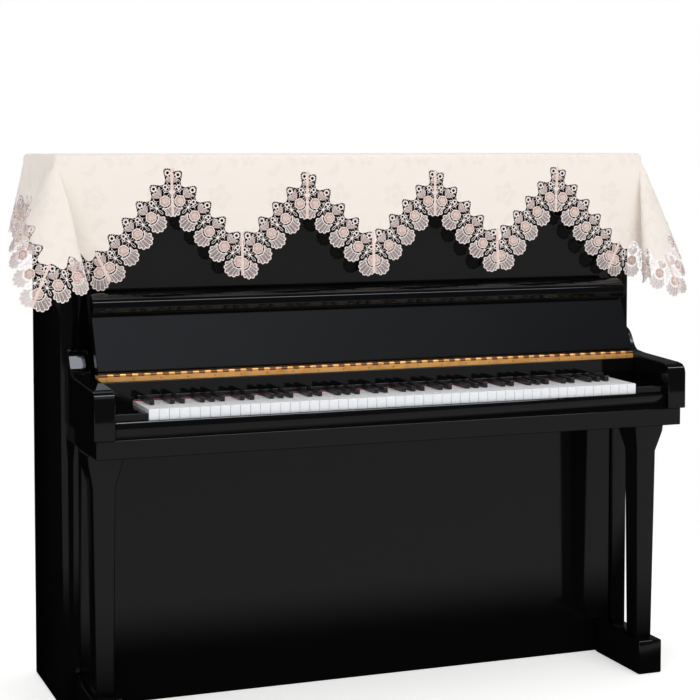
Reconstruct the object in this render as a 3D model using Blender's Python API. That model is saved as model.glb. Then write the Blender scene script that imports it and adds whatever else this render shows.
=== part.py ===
"""A lace-edged piano top cover, draped over the lid of a plain upright piano.

The cover is drawn flat, as a maker would cut it, and is then hung over the lid
by one drape rule. Flat places are (u, v): u runs across the piano, v from front
to back, in metres along the cloth. The frame is metres, +Z up, front facing -Y,
with the origin on the floor, under the middle of the piano's case.
"""

import math

import bmesh
import bpy
import numpy as np
from mathutils import Vector
from mathutils.geometry import delaunay_2d_cdt

# Piano, outer sizes
LID_WIDTH = 1.534
LID_DEPTH = 0.370
LID_THICK = 0.024
LID_TOP = 1.306
LID_MIDDLE_Y = -0.0155
LID_BEVEL = 0.008
CASE_WIDTH = 1.500
CASE_DEPTH = 0.335
SIDE_BOARD = 0.042
FRONT_RECESS = 0.010
SEAT_GAP = 0.0003
ARM_WIDTH = 1.480
ARM_THICK = 0.048
KEYBED_LOW = 0.640
KEYBED_INSET = 0.007
ARM_LOW = 0.6825
KEYBED_FRONT = -0.462
KEY_FRONT = -0.4525
KEY_TOP = 0.746
KEY_DEPTH = 0.148
KEYBOARD_WIDTH = 1.225
WHITE_KEYS = 52
BLACK_KEY_WIDTH = 0.0105
BLACK_KEY_LENGTH = 0.093
BLACK_KEY_RISE = 0.0115
COMB_SPINE = 0.006
# Places in each octave of seven white keys, counted from the lowest key, with a black key before them
BLACK_KEY_PLACES = (0, 1, 3, 4, 6)
KEYSLIP_TOP = 0.722
KEYSLIP_THICK = 0.0092
CHEEK_TOP = 0.738
FALL_WIDTH = 1.382
LEG_MIDDLE_X = 0.694
LEG_FRONT = -0.363
LEG_DEPTH = 0.058
LEG_WIDTH = 0.050
TOE_HIGH = 0.085
TOE_WIDTH = 0.066
TOE_AHEAD = 0.030
# Cross sections of a leg, from the toe block up to its capital under the key bed
LEG_LEVELS = (
    {"height": TOE_HIGH + SEAT_GAP, "scale": 0.86},
    {"height": 0.560, "scale": 1.06},
    {"height": 0.585, "scale": 1.30},
    {"height": 0.612, "scale": 1.55},
    {"height": KEYBED_LOW - SEAT_GAP, "scale": 1.62},
)

# Side view of an arm, from the case forward along its top: distance from the case's middle, height
ARM_TOP = (
    (-0.168, 0.857),
    (-0.185, 0.857),
    (-0.198, 0.851),
    (-0.209, 0.840),
    (-0.220, 0.822),
    (-0.229, 0.810),
    (-0.240, 0.803),
    (-0.277, 0.799),
    (-0.441, 0.793),
    (-0.459, 0.790),
    (-0.469, 0.783),
    (-0.473, 0.770),
)
# Side view of the open fallboard: a leaning board with a thick rounded lip along its top
FALL_SECTION = (
    (-0.2960, 0.8140),
    (-0.2330, 0.9400),
    (-0.2470, 0.9430),
    (-0.2540, 0.9540),
    (-0.2520, 0.9680),
    (-0.2400, 0.9800),
    (-0.2200, 0.9870),
    (-0.1900, 0.9870),
    (-0.1900, 0.9600),
    (-0.2760, 0.8050),
    (-0.2900, 0.8050),
)
# Side view of the brass hinge rail under the fallboard
RAIL_SECTION = (
    (-0.3020, 0.7900),
    (-0.3020, 0.8020),
    (-0.2960, 0.8046),
    (-0.2700, 0.8046),
    (-0.2700, 0.7900),
)

# Cover, flat sizes
CLOTH_THICK = 0.0012
LACE_THICK = 0.0016
SEAM_GAP = 0.0004
COVER_SHIFT = 0.0165
COVER_WIDTH = 1.958
WAVE_PERIOD = 0.3368
PEAK_DROP = 0.097
VALLEY_DROP = 0.270
BEND_ACROSS = 0.667
BEND_DROP = 0.280
CORNER_DROP = 0.296
BACK_DROP = 0.222
LACE_PITCH = 0.0507
LACE_OUTER = 0.044
PEAK_ROSE = 0.027
CORNER_LEFT_ROSE = 0.001
CORNER_RIGHT_ROSE = 0.007
TOOTH_TIP = 0.053
TOOTH_ROOT = 0.030
TOOTH_SHIFT = 0.004
TOOTH_SQUARE = 0.1
FAN_RADIUS = 0.0250
FAN_NOTCH = 0.0232
FAN_PETALS = 5
NOTCH_LEVEL = 0.019
TOOTH_SHARES = (-0.36, -0.14, 0.14, 0.36)
FAN_SPARE = 0.006
HOLE_TO_SEAM = 0.0022

# Cover, hung sizes
EDGE_CLEAR = 0.002
ROLL_RADIUS = LID_BEVEL + EDGE_CLEAR + CLOTH_THICK / 2
ROLL_LENGTH = ROLL_RADIUS * math.pi / 2
TOP_REST = SEAT_GAP + CLOTH_THICK / 2 + (LACE_THICK - CLOTH_THICK) / 2
TOP_RISE_START = 0.050
HALF_WIDE = LID_WIDTH / 2 - LID_BEVEL
HALF_DEEP = LID_DEPTH / 2 - LID_BEVEL
WAVE_DEPTH = 0.006
WAVE_START = 0.06
WAVE_GROWTH = 0.20
HANG_CURL = 0.004

# Holes cut through each repeat of the lace, placed from its rose: along the strip and outwards
HOLE_TABLE = (
    {"along": 0.0035, "out": -0.0395, "half_long": 0.0034, "half_wide": 0.0044, "sides": 6},
    {"along": 0.0205, "out": -0.0125, "half_long": 0.0040, "half_wide": 0.0036, "sides": 4},
    {"along": -0.0170, "out": 0.0105, "half_long": 0.0036, "half_wide": 0.0036, "sides": 4},
)

# Lean of the hanging cloth round each lid corner, in degrees from straight down, a row for each bend.
# side: away from the end of the piano; out: away from its front, or from its back for a back corner.
FRONT_LEFT_FOLDS = (
    {"side": -22.0, "out": 0.0},
    {"side": -15.0, "out": 0.0},
    {"side": -10.0, "out": 0.0},
    {"side": -6.8, "out": 0.7},
    {"side": -5.4, "out": 2.8},
    {"side": -6.6, "out": 5.0},
    {"side": -8.6, "out": 6.6},
    {"side": -10.0, "out": 8.4},
    {"side": -9.8, "out": 10.4},
    {"side": -7.6, "out": 12.0},
    {"side": -3.0, "out": 13.2},
    {"side": 4.0, "out": 13.9},
    {"side": 12.0, "out": 12.4},
    {"side": 18.0, "out": 8.6},
    {"side": 22.0, "out": 3.0},
    {"side": 23.4, "out": -6.0},
    {"side": 20.5, "out": -15.0},
    {"side": 14.5, "out": -21.5},
    {"side": 10.8, "out": -23.6},
    {"side": 9.0, "out": -20.2},
    {"side": 7.8, "out": -15.5},
    {"side": 6.0, "out": -11.0},
    {"side": 3.0, "out": -9.4},
    {"side": 0.6, "out": -11.4},
    {"side": 0.0, "out": -16.0},
    {"side": 0.0, "out": -22.0},
    {"side": 0.0, "out": -29.0},
)
FRONT_RIGHT_FOLDS = (
    {"side": -16.0, "out": 0.0},
    {"side": -8.0, "out": 0.0},
    {"side": -1.0, "out": 0.0},
    {"side": 3.0, "out": 0.4},
    {"side": 4.8, "out": 1.8},
    {"side": 4.6, "out": 4.0},
    {"side": 2.2, "out": 5.2},
    {"side": -0.8, "out": 6.2},
    {"side": -2.2, "out": 8.0},
    {"side": -1.6, "out": 10.0},
    {"side": 1.6, "out": 11.6},
    {"side": 6.4, "out": 12.0},
    {"side": 12.0, "out": 10.8},
    {"side": 19.0, "out": 7.6},
    {"side": 25.0, "out": 1.0},
    {"side": 27.0, "out": -6.5},
    {"side": 24.5, "out": -14.5},
    {"side": 19.0, "out": -20.8},
    {"side": 13.4, "out": -24.0},
    {"side": 10.4, "out": -23.4},
    {"side": 9.0, "out": -20.0},
    {"side": 7.8, "out": -15.2},
    {"side": 6.0, "out": -11.0},
    {"side": 3.0, "out": -9.4},
    {"side": 0.6, "out": -11.4},
    {"side": 0.0, "out": -16.0},
    {"side": 0.0, "out": -22.0},
    {"side": 0.0, "out": -29.0},
)
BACK_FOLDS = (
    {"side": -24.0, "out": 0.0},
    {"side": -17.0, "out": 0.0},
    {"side": -13.0, "out": 1.5},
    {"side": -12.0, "out": 8.0},
    {"side": -11.4, "out": 16.0},
    {"side": -8.6, "out": 21.5},
    {"side": -5.6, "out": 16.0},
    {"side": -4.2, "out": 9.5},
    {"side": -2.8, "out": 7.5},
    {"side": -1.4, "out": 10.0},
    {"side": -0.4, "out": 18.0},
    {"side": 0.8, "out": 26.0},
    {"side": 3.0, "out": 29.5},
    {"side": 5.0, "out": 25.0},
    {"side": 6.0, "out": 16.0},
    {"side": 5.8, "out": 7.0},
    {"side": 4.6, "out": 1.8},
    {"side": 2.6, "out": -0.8},
    {"side": 0.7, "out": -4.0},
    {"side": 0.0, "out": -9.0},
    {"side": 0.0, "out": -16.0},
    {"side": 0.0, "out": -23.0},
)
CORNER_TABLE = (
    {"x": -1, "y": -1, "folds": FRONT_LEFT_FOLDS},
    {"x": 1, "y": -1, "folds": FRONT_RIGHT_FOLDS},
    {"x": -1, "y": 1, "folds": BACK_FOLDS},
    {"x": 1, "y": 1, "folds": BACK_FOLDS},
)
CURVE_STEPS = 24
LEAN_EASE = 0.035
FOLD_EASE = 0.100
FOLD_SPREAD = math.radians(22)
RING_REACHES = (0.010, 0.030, 0.065)
BEND_STEPS = 6
GUIDE_REACH = 0.46
GUIDE_COLUMNS = 8
GUIDE_INSET = 0.13
GUIDE_DROPS = (0.09, 0.18)

# Finishes: colour, roughness, metallic
LACQUER = ("black_lacquer", (0.012, 0.012, 0.013), 0.12, 0.0)
JACQUARD = ("cream_jacquard", (0.86, 0.80, 0.74), 0.85, 0.0)
LACE = ("pink_guipure_lace", (0.80, 0.68, 0.65), 0.9, 0.0)
IVORY = ("white_key_plastic", (0.83, 0.83, 0.82), 0.25, 0.0)
BRASS = ("hinge_brass", (0.72, 0.42, 0.14), 0.35, 0.9)


def start_clean():
    """Remove every object that the scene holds."""
    for thing in list(bpy.data.objects):
        bpy.data.objects.remove(thing, do_unlink=True)


def finish(spec):
    """Make or reuse the material of a finish."""
    name, colour, roughness, metallic = spec
    material = bpy.data.materials.get(name)
    if material is None:
        material = bpy.data.materials.new(name)
        material.use_nodes = True
        shader = material.node_tree.nodes["Principled BSDF"]
        shader.inputs["Base Color"].default_value = (*colour, 1.0)
        shader.inputs["Roughness"].default_value = roughness
        shader.inputs["Metallic"].default_value = metallic
        material.diffuse_color = (*colour, 1.0)
    return material


def add_object(name, bm, spec):
    """Turn a bmesh into a named object of one material."""
    bmesh.ops.recalc_face_normals(bm, faces=bm.faces)
    mesh = bpy.data.meshes.new(name)
    bm.to_mesh(mesh)
    bm.free()
    mesh.materials.append(finish(spec))
    thing = bpy.data.objects.new(name, mesh)
    bpy.context.scene.collection.objects.link(thing)
    return thing


def add_block(name, low, high, spec, bevel=0.0015, segments=1):
    """A block between two corners, with softened edges."""
    bm = bmesh.new()
    bmesh.ops.create_cube(bm, size=1.0)
    low = Vector(low)
    high = Vector(high)
    for vert in bm.verts:
        for axis in range(3):
            vert.co[axis] = low[axis] if vert.co[axis] < 0 else high[axis]
    thing = add_object(name, bm, spec)
    if bevel > 0:
        soften(thing, bevel, segments)
    return thing


def soften(thing, width, segments):
    """Round the sharp edges of an object."""
    modifier = thing.modifiers.new("softened_edges", "BEVEL")
    modifier.width = width
    modifier.segments = segments
    modifier.limit_method = "ANGLE"
    modifier.angle_limit = math.radians(35)


def add_profile(name, section, x_low, x_high, spec, bevel=0.0):
    """A bar along X with a side-view section of (y, z) points."""
    bm = bmesh.new()
    verts = [bm.verts.new((x_low, y, z)) for y, z in section]
    face = bm.faces.new(verts)
    grown = bmesh.ops.extrude_face_region(bm, geom=[face])
    moved = [item for item in grown["geom"] if isinstance(item, bmesh.types.BMVert)]
    bmesh.ops.translate(bm, verts=moved, vec=(x_high - x_low, 0.0, 0.0))
    thing = add_object(name, bm, spec)
    if bevel > 0:
        soften(thing, bevel, 1)
    return thing


# ---------------------------------------------------------------- piano


def build_case():
    """Case body between two side boards, with the lid on top."""
    half = CASE_WIDTH / 2
    front = -CASE_DEPTH / 2
    back = CASE_DEPTH / 2
    top = LID_TOP - LID_THICK - SEAT_GAP
    for side, sign in (("left", -1), ("right", 1)):
        outer = sign * half
        inner = sign * (half - SIDE_BOARD)
        add_block(
            f"case_side_{side}",
            (min(outer, inner), front, 0.0),
            (max(outer, inner), back, top),
            LACQUER,
            0.003,
            2,
        )
    inner = half - SIDE_BOARD - SEAT_GAP
    add_block("case_body", (-inner, front + FRONT_RECESS, 0.0), (inner, back, top), LACQUER)
    lid_half = LID_WIDTH / 2
    add_block(
        "lid",
        (-lid_half, LID_MIDDLE_Y - LID_DEPTH / 2, LID_TOP - LID_THICK),
        (lid_half, LID_MIDDLE_Y + LID_DEPTH / 2, LID_TOP),
        LACQUER,
        LID_BEVEL,
        4,
    )


def build_key_bed():
    """Key bed, key slip, cheeks and the two arms with their curved tops."""
    front = -CASE_DEPTH / 2 - SEAT_GAP
    half = ARM_WIDTH / 2
    inner = half - ARM_THICK
    bed_half = half - KEYBED_INSET
    bed_low = (-bed_half, KEYBED_FRONT, KEYBED_LOW)
    bed_high = (bed_half, front, ARM_LOW - SEAT_GAP)
    add_block("key_bed", bed_low, bed_high, LACQUER)
    slip_low = (-inner + SEAT_GAP, KEYBED_FRONT, ARM_LOW)
    slip_high = (inner - SEAT_GAP, KEYBED_FRONT + KEYSLIP_THICK, KEYSLIP_TOP)
    add_block("key_slip", slip_low, slip_high, LACQUER, 0.003, 2)
    section = [*ARM_TOP, (ARM_TOP[-1][0], ARM_LOW), (ARM_TOP[0][0], ARM_LOW)]
    for side, sign in (("left", -1), ("right", 1)):
        arm = sorted((sign * half, sign * inner))
        add_profile(f"arm_{side}", section, arm[0], arm[1], LACQUER, 0.0015)
        cheek = sorted((sign * (inner - SEAT_GAP), sign * (KEYBOARD_WIDTH / 2 + SEAT_GAP)))
        low = (cheek[0], KEY_FRONT, ARM_LOW)
        high = (cheek[1], KEY_FRONT + KEY_DEPTH, CHEEK_TOP)
        add_block(f"cheek_{side}", low, high, LACQUER)


def build_keyboard():
    """One slab for the white keys and a comb for the black ones."""
    half = KEYBOARD_WIDTH / 2
    back = KEY_FRONT + KEY_DEPTH
    add_block("white_keys", (-half, KEY_FRONT, ARM_LOW), (half, back, KEY_TOP), IVORY, 0.001)
    pitch = KEYBOARD_WIDTH / WHITE_KEYS
    end = half - BLACK_KEY_WIDTH
    spine = back - COMB_SPINE
    tip = spine + COMB_SPINE * 2 - BLACK_KEY_LENGTH
    outline = [(-end, back), (-end, spine)]
    for index in range(1, WHITE_KEYS):
        if index % 7 in BLACK_KEY_PLACES:
            left = -half + index * pitch - BLACK_KEY_WIDTH / 2
            right = left + BLACK_KEY_WIDTH
            outline.extend(((left, spine), (left, tip), (right, tip), (right, spine)))
    outline.extend(((end, spine), (end, back)))
    bm = bmesh.new()
    verts = [bm.verts.new((x, y, KEY_TOP + SEAT_GAP)) for x, y in outline]
    grown = bmesh.ops.extrude_face_region(bm, geom=[bm.faces.new(verts)])
    moved = [item for item in grown["geom"] if isinstance(item, bmesh.types.BMVert)]
    bmesh.ops.translate(bm, verts=moved, vec=(0.0, 0.0, BLACK_KEY_RISE))
    bmesh.ops.triangulate(bm, faces=bm.faces)
    add_object("black_keys", bm, LACQUER)


def build_fallboard():
    """The open fallboard, leaning back against the case, and the brass hinge rail at its foot."""
    half = FALL_WIDTH / 2
    add_profile("fallboard", FALL_SECTION, -half, half, LACQUER)
    add_profile("fallboard_rail", RAIL_SECTION, -half, half, BRASS)
    add_block(
        "fallboard_stop",
        (-half, KEY_FRONT + KEY_DEPTH + SEAT_GAP, ARM_LOW),
        (half, -CASE_DEPTH / 2 - SEAT_GAP, RAIL_SECTION[0][1] - SEAT_GAP),
        LACQUER,
    )


def build_legs():
    """Two tapered front legs under the key bed, each on a toe block from the case."""
    front = -CASE_DEPTH / 2 - SEAT_GAP
    for side, sign in (("left", -1), ("right", 1)):
        middle = Vector((sign * LEG_MIDDLE_X, LEG_FRONT + LEG_DEPTH / 2, 0.0))
        bm = bmesh.new()
        rings = []
        for row in LEG_LEVELS:
            ring = []
            for x, y in ((-1, -1), (1, -1), (1, 1), (-1, 1)):
                reach = Vector((x * LEG_WIDTH, y * LEG_DEPTH, 0.0)) * row["scale"] / 2
                ring.append(bm.verts.new(middle + reach + Vector((0.0, 0.0, row["height"]))))
            rings.append(ring)
        bm.faces.new(rings[0][::-1])
        bm.faces.new(rings[-1])
        for lower, upper in zip(rings, rings[1:]):
            for a, b, c, d in zip(lower, lower[1:] + lower[:1], upper[1:] + upper[:1], upper):
                bm.faces.new((a, b, c, d))
        soften(add_object(f"leg_{side}", bm, LACQUER), 0.002, 1)
        low = (middle.x - TOE_WIDTH / 2, LEG_FRONT - TOE_AHEAD, 0.0)
        high = (middle.x + TOE_WIDTH / 2, front, TOE_HIGH)
        add_block(f"toe_{side}", low, high, LACQUER, 0.004, 2)


# ---------------------------------------------------------------- drape rule


def lean_vectors(side, out):
    """Unit vectors (side, out, down) for leans given in degrees from straight down."""
    lean = np.radians(np.hypot(side, out))
    spin = np.arctan2(out, side)
    return np.stack((np.sin(lean) * np.cos(spin), np.sin(lean) * np.sin(spin), np.cos(lean)), axis=-1)


def smooth_rows(folds, scale):
    """A smooth curve of unit vectors through the rows of a fold table, and the row places on it."""
    rows = np.array([(row["side"], row["out"]) for row in folds]) * scale
    padded = np.vstack((2 * rows[0] - rows[1], rows, 2 * rows[-1] - rows[-2]))
    steps = np.linspace(0.0, 1.0, CURVE_STEPS, endpoint=False)[:, None]
    pieces = []
    for a, b, c, d in zip(padded, padded[1:], padded[2:], padded[3:]):
        even = 2 * b + (c - a) * steps
        bend = (2 * a - 5 * b + 4 * c - d) * steps**2
        twist = (3 * b - a - 3 * c + d) * steps**3
        pieces.append(0.5 * (even + bend + twist))
    pieces.append(rows[-1:])
    leans = np.vstack(pieces)
    vectors = lean_vectors(leans[:, 0], leans[:, 1])
    cosines = np.clip(np.sum(vectors[1:] * vectors[:-1], axis=1), -1.0, 1.0)
    lengths = np.concatenate(([0.0], np.cumsum(np.arccos(cosines))))
    return rows, vectors, lengths


def ease(share):
    """A smooth step from 0 to 1."""
    share = np.clip(share, 0.0, 1.0)
    return share * share * (3 - 2 * share)


def unfolded(angle):
    """Unit vectors (side, out, down) of cloth that just hangs down from the lid's edges and corner."""
    before = np.minimum(angle, 0.0)
    after = np.maximum(angle, math.pi / 2)
    return np.stack((np.sin(before), np.cos(after), np.cos(before) * np.sin(after)), axis=-1)


class Corner:
    """The cone of cloth that hangs from one corner of the lid."""

    def __init__(self, spec):
        self.x = spec["x"]
        self.y = spec["y"]
        folds = spec["folds"]
        low, high = 0.6, 1.8
        for _ in range(40):
            scale = (low + high) / 2
            rows, vectors, lengths = smooth_rows(folds, scale)
            wanted = math.radians(90 - rows[0][0] - rows[-1][1])
            if lengths[-1] < wanted:
                low = scale
            else:
                high = scale
        self.vectors = vectors
        self.angles = lengths + math.radians(rows[0][0])
        self.row_angles = self.angles[::CURVE_STEPS]

    def folded(self, angle):
        """Unit vectors (side, out, down) of the folded cloth's fall line at each flat angle."""
        found = np.stack([np.interp(angle, self.angles, self.vectors[:, k]) for k in range(3)], axis=-1)
        outside = (angle < self.angles[0]) | (angle > self.angles[-1])
        found[outside] = unfolded(angle)[outside]
        return found

    def hang(self, angle, reach):
        """Unit vectors of the fall line: straight down at the lid, then smooth, then folded."""
        smooth = np.zeros((len(angle), 3))
        for offset in np.linspace(-1.0, 1.0, 9):
            smooth += (1.0 - offset**2) * self.folded(angle + offset * FOLD_SPREAD)
        smooth /= np.linalg.norm(smooth, axis=1, keepdims=True)
        leaning = ease(reach / LEAN_EASE)[:, None]
        folding = ease(reach / FOLD_EASE)[:, None]
        found = unfolded(angle) * (1 - leaning) + smooth * (leaning - folding) + self.folded(angle) * folding
        return found / np.linalg.norm(found, axis=1, keepdims=True)


def roll_over(flat):
    """How far out and down the cloth is, and how much hangs beyond, for its length past a bend's start."""
    turn = np.clip(flat / ROLL_LENGTH, 0.0, 1.0) * math.pi / 2
    return ROLL_RADIUS * np.sin(turn), ROLL_RADIUS * (1 - np.cos(turn)), np.maximum(flat - ROLL_LENGTH, 0.0)


def hang_corner(corner, p, q):
    """Offsets (side, out, down) from the lid corner's bend for flat points beyond both edges."""
    angle = np.arctan2(p, q)
    away, down, beyond = roll_over(np.hypot(p, q))
    base = np.stack((away * np.sin(angle), away * np.cos(angle), down), axis=-1)
    return base + beyond[:, None] * corner.hang(angle, beyond)


def hang_edge(corner, along, past, beside):
    """Offsets for flat points past one edge only, at a place along it, negative away from the corner."""
    away, down, beyond = roll_over(past)
    nothing = np.zeros_like(away)
    reach = np.hypot(along, beyond)
    turn = np.arctan2(-along, beyond)
    if beside:
        fall = corner.hang(math.pi / 2 + turn, reach)
        base = np.stack((away, nothing, down), axis=-1)
    else:
        fall = corner.hang(-turn, reach)
        base = np.stack((nothing, away, down), axis=-1)
    return base + reach[:, None] * fall


def top_rise(inside):
    """Height of the cloth above its rest on the lid, by its distance inside the nearest edge."""
    return (EDGE_CLEAR + CLOTH_THICK / 2 - TOP_REST) * ease(1 - inside / TOP_RISE_START)


def hang_wave(u, drop, corner_share):
    """How far the front valance stands proud of its plane: soft tongues, as uneven as hung cloth."""
    phase = 2 * math.pi * (u - COVER_SHIFT) / WAVE_PERIOD
    uneven = 1.0 + 0.35 * np.sin(0.83 * phase + 0.6)
    share = np.clip(drop / VALLEY_DROP, 0.0, 1.2)
    return corner_share * share * (WAVE_DEPTH * uneven * np.cos(phase) + HANG_CURL * share)


def drape(u, v):
    """World places of flat points of the cover."""
    u = np.atleast_1d(np.asarray(u, dtype=float))
    v = np.atleast_1d(np.asarray(v, dtype=float))
    places = np.empty((len(u), 3))
    top = LID_TOP + TOP_REST
    inside = np.minimum(HALF_WIDE - np.abs(u), HALF_DEEP - np.abs(v))
    places[:, 0] = u
    places[:, 1] = v + LID_MIDDLE_Y
    places[:, 2] = top + top_rise(np.maximum(inside, 0.0))
    edge_height = top + top_rise(np.zeros(1))[0]
    for corner in CORNERS:
        mine = ((u < 0) == (corner.x < 0)) & ((v < 0) == (corner.y < 0)) & (inside < 0)
        p = corner.x * u - HALF_WIDE
        q = corner.y * v - HALF_DEEP
        for zone, chosen in (
            ("both", mine & (p > 0) & (q > 0)),
            ("out", mine & (p <= 0)),
            ("side", mine & (q <= 0)),
        ):
            if not chosen.any():
                continue
            if zone == "both":
                offset = hang_corner(corner, p[chosen], q[chosen])
            elif zone == "out":
                offset = hang_edge(corner, p[chosen], q[chosen], False)
                near = np.clip((-p[chosen] - WAVE_START) / WAVE_GROWTH, 0.0, 1.0)
                if corner.y < 0:
                    drop = np.maximum(q[chosen] - ROLL_LENGTH, 0.0)
                    offset[:, 1] += hang_wave(u[chosen], drop, near)
            else:
                offset = hang_edge(corner, q[chosen], p[chosen], True)
            places[chosen, 0] = corner.x * (HALF_WIDE + offset[:, 0])
            places[chosen, 1] = LID_MIDDLE_Y + corner.y * (HALF_DEEP + offset[:, 1])
            places[chosen, 2] = edge_height - offset[:, 2]
    return places


def drape_normals(u, v, step=0.0004):
    """Outward unit normals of the hung cloth."""
    across = drape(u + step, v) - drape(u - step, v)
    along = drape(u, v + step) - drape(u, v - step)
    normal = np.cross(across, along)
    return normal / np.linalg.norm(normal, axis=1, keepdims=True)


# ---------------------------------------------------------------- flat pattern


def centre_line():
    """Corners of the lace's rose line, from back left round the front to back right."""
    half = COVER_WIDTH / 2 - LACE_OUTER
    front = -HALF_DEEP
    back = HALF_DEEP + BACK_DROP
    points = [(-half, back), (-half, front - CORNER_DROP), (-BEND_ACROSS, front - BEND_DROP)]
    for step in range(-3, 4):
        level = PEAK_DROP if step % 2 else VALLEY_DROP
        points.append((step * WAVE_PERIOD / 2, front - level))
    points.extend(((BEND_ACROSS, front - BEND_DROP), (half, front - CORNER_DROP), (half, back)))
    return [Vector((x + COVER_SHIFT, y)) for x, y in points]


def tooth_edge(along):
    """Inner edge of the lace beside the cloth: rounded square teeth."""
    turn = 2 * math.pi * (along - TOOTH_SHIFT) / LACE_PITCH
    middle = (TOOTH_TIP + TOOTH_ROOT) / 2
    swing = (TOOTH_TIP - TOOTH_ROOT) / 2
    squared = math.cos(turn) * (1 - TOOTH_SQUARE) + math.cos(3 * turn) * TOOTH_SQUARE
    return -middle - swing * squared


def fan_points():
    """Outer edge of one repeat of the lace: five petals round a rose, then the notch after it."""
    centre = LACE_OUTER - FAN_RADIUS
    points = []
    for petal in range(FAN_PETALS):
        for share, radius in ((0.5, FAN_RADIUS), (1.0, FAN_NOTCH)):
            angle = math.radians(-90 + 180 * (petal + share) / FAN_PETALS)
            if petal == FAN_PETALS - 1 and share > 0.9:
                continue
            points.append((radius * math.sin(angle), centre + radius * math.cos(angle)))
    points.append((LACE_PITCH / 2, NOTCH_LEVEL))
    return points


class Strip:
    """One straight length of lace between two seams, or between a seam and the back hem."""

    def __init__(self, name, start, end, start_cut, end_cut, phase):
        self.name = name
        self.start = start
        self.length = (end - start).length
        self.along = (end - start).normalized()
        self.out = Vector((self.along.y, -self.along.x))
        self.start_cut = start_cut
        self.end_cut = end_cut
        self.phase = phase

    def place(self, a, b):
        """Flat place of a point a along the strip and b outwards."""
        return self.start + self.along * a + self.out * b

    def inside(self, point, margin=0.0):
        """Whether a flat point lies between the strip's two seams, clear of them by a margin."""
        first, first_normal = self.start_cut
        last, last_normal = self.end_cut
        return (point - first).dot(first_normal) > margin and (last - point).dot(last_normal) > margin

    def trimmed(self, points, gap):
        """The run of a polyline through the strip's middle, with its ends cut on the seams."""
        middle = self.place(self.length / 2, 0.0)
        start = min(range(len(points)), key=lambda index: abs((points[index] - middle).dot(self.along)))
        first = start
        while first > 0 and self.inside(points[first - 1], gap):
            first -= 1
        last = start
        while last < len(points) - 1 and self.inside(points[last + 1], gap):
            last += 1
        kept = list(points[first : last + 1])
        if first > 0:
            kept.insert(0, self.cross(points[first], points[first - 1], gap))
        if last < len(points) - 1:
            kept.append(self.cross(points[last], points[last + 1], gap))
        return kept

    def cross(self, inner, outer, gap):
        """Where a line from a point inside to a point outside meets the seam."""
        for _ in range(40):
            middle = (inner + outer) / 2
            if self.inside(middle, gap):
                inner = middle
            else:
                outer = middle
        return inner

    def repeats(self):
        """Places along the strip of each rose, a little past both ends."""
        first = math.floor((-LACE_OUTER * 3 - self.phase) / LACE_PITCH)
        last = math.ceil((self.length + LACE_OUTER * 3 - self.phase) / LACE_PITCH)
        return [self.phase + index * LACE_PITCH for index in range(first, last + 1)]

    def inner_edge(self):
        """Toothed inner edge."""
        points = []
        for rose in self.repeats():
            for share in TOOTH_SHARES:
                local = TOOTH_SHIFT + share * LACE_PITCH
                points.append(self.place(rose + local, tooth_edge(local)))
        return self.trimmed(points, SEAM_GAP / 2)

    def outer_edge(self):
        """Scalloped outer edge: the fans whose roses lie on the strip, and a plain run to each seam."""
        roses = [rose for rose in self.repeats() if -FAN_SPARE < rose < self.length + FAN_SPARE]
        points = [self.place(roses[0] - LACE_PITCH * 1.5, NOTCH_LEVEL)]
        points.append(self.place(roses[0] - LACE_PITCH / 2, NOTCH_LEVEL))
        for rose in roses:
            points.extend(self.place(rose + a, b) for a, b in fan_points())
        points.append(self.place(roses[-1] + LACE_PITCH * 1.5, NOTCH_LEVEL))
        return self.trimmed(points, SEAM_GAP / 2)

    def outline(self):
        """Closed outline of the strip, with half the seam gap left at each cut."""
        return self.inner_edge() + self.outer_edge()[::-1]

    def holes(self):
        """The openings of each repeat, where they lie clear of the seams."""
        found = []
        for rose in self.repeats():
            for row in HOLE_TABLE:
                loop = []
                for k in range(row["sides"]):
                    angle = 2 * math.pi * k / row["sides"]
                    a = rose + row["along"] + row["half_long"] * math.cos(angle)
                    b = row["out"] + row["half_wide"] * math.sin(angle)
                    loop.append(self.place(a, b))
                if all(self.inside(point, HOLE_TO_SEAM) for point in loop):
                    found.append(loop)
        return found


def seam_normal(before, after):
    """Normal of the mitre between two directions, pointing forwards along the line."""
    return (before + after).normalized()


def build_strips():
    """Every strip of lace, in order round the cover."""
    points = centre_line()
    directions = [(b - a).normalized() for a, b in zip(points, points[1:])]
    cuts = [(points[0], directions[0])]
    for point, before, after in zip(points[1:-1], directions, directions[1:]):
        cuts.append((point, seam_normal(before, after)))
    cuts.append((points[-1], directions[-1]))
    first_roses = {
        "side_left": (points[1] - points[0]).length - LACE_PITCH,
        "corner_left": CORNER_LEFT_ROSE,
        "corner_right": CORNER_RIGHT_ROSE,
        "side_right": LACE_PITCH,
    }
    names = ["side_left", "corner_left"]
    names.extend(f"zigzag_{index}" for index in range(1, 9))
    names.extend(("corner_right", "side_right"))
    strips = []
    for index, name in enumerate(names):
        ends = (points[index], points[index + 1])
        falling = index % 2 == 1
        from_peak = PEAK_ROSE if falling else (ends[1] - ends[0]).length - PEAK_ROSE
        phase = first_roses.get(name, from_peak)
        strips.append(Strip(f"lace_{name}", *ends, cuts[index], cuts[index + 1], phase))
    return strips


# ---------------------------------------------------------------- cloth solids


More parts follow.
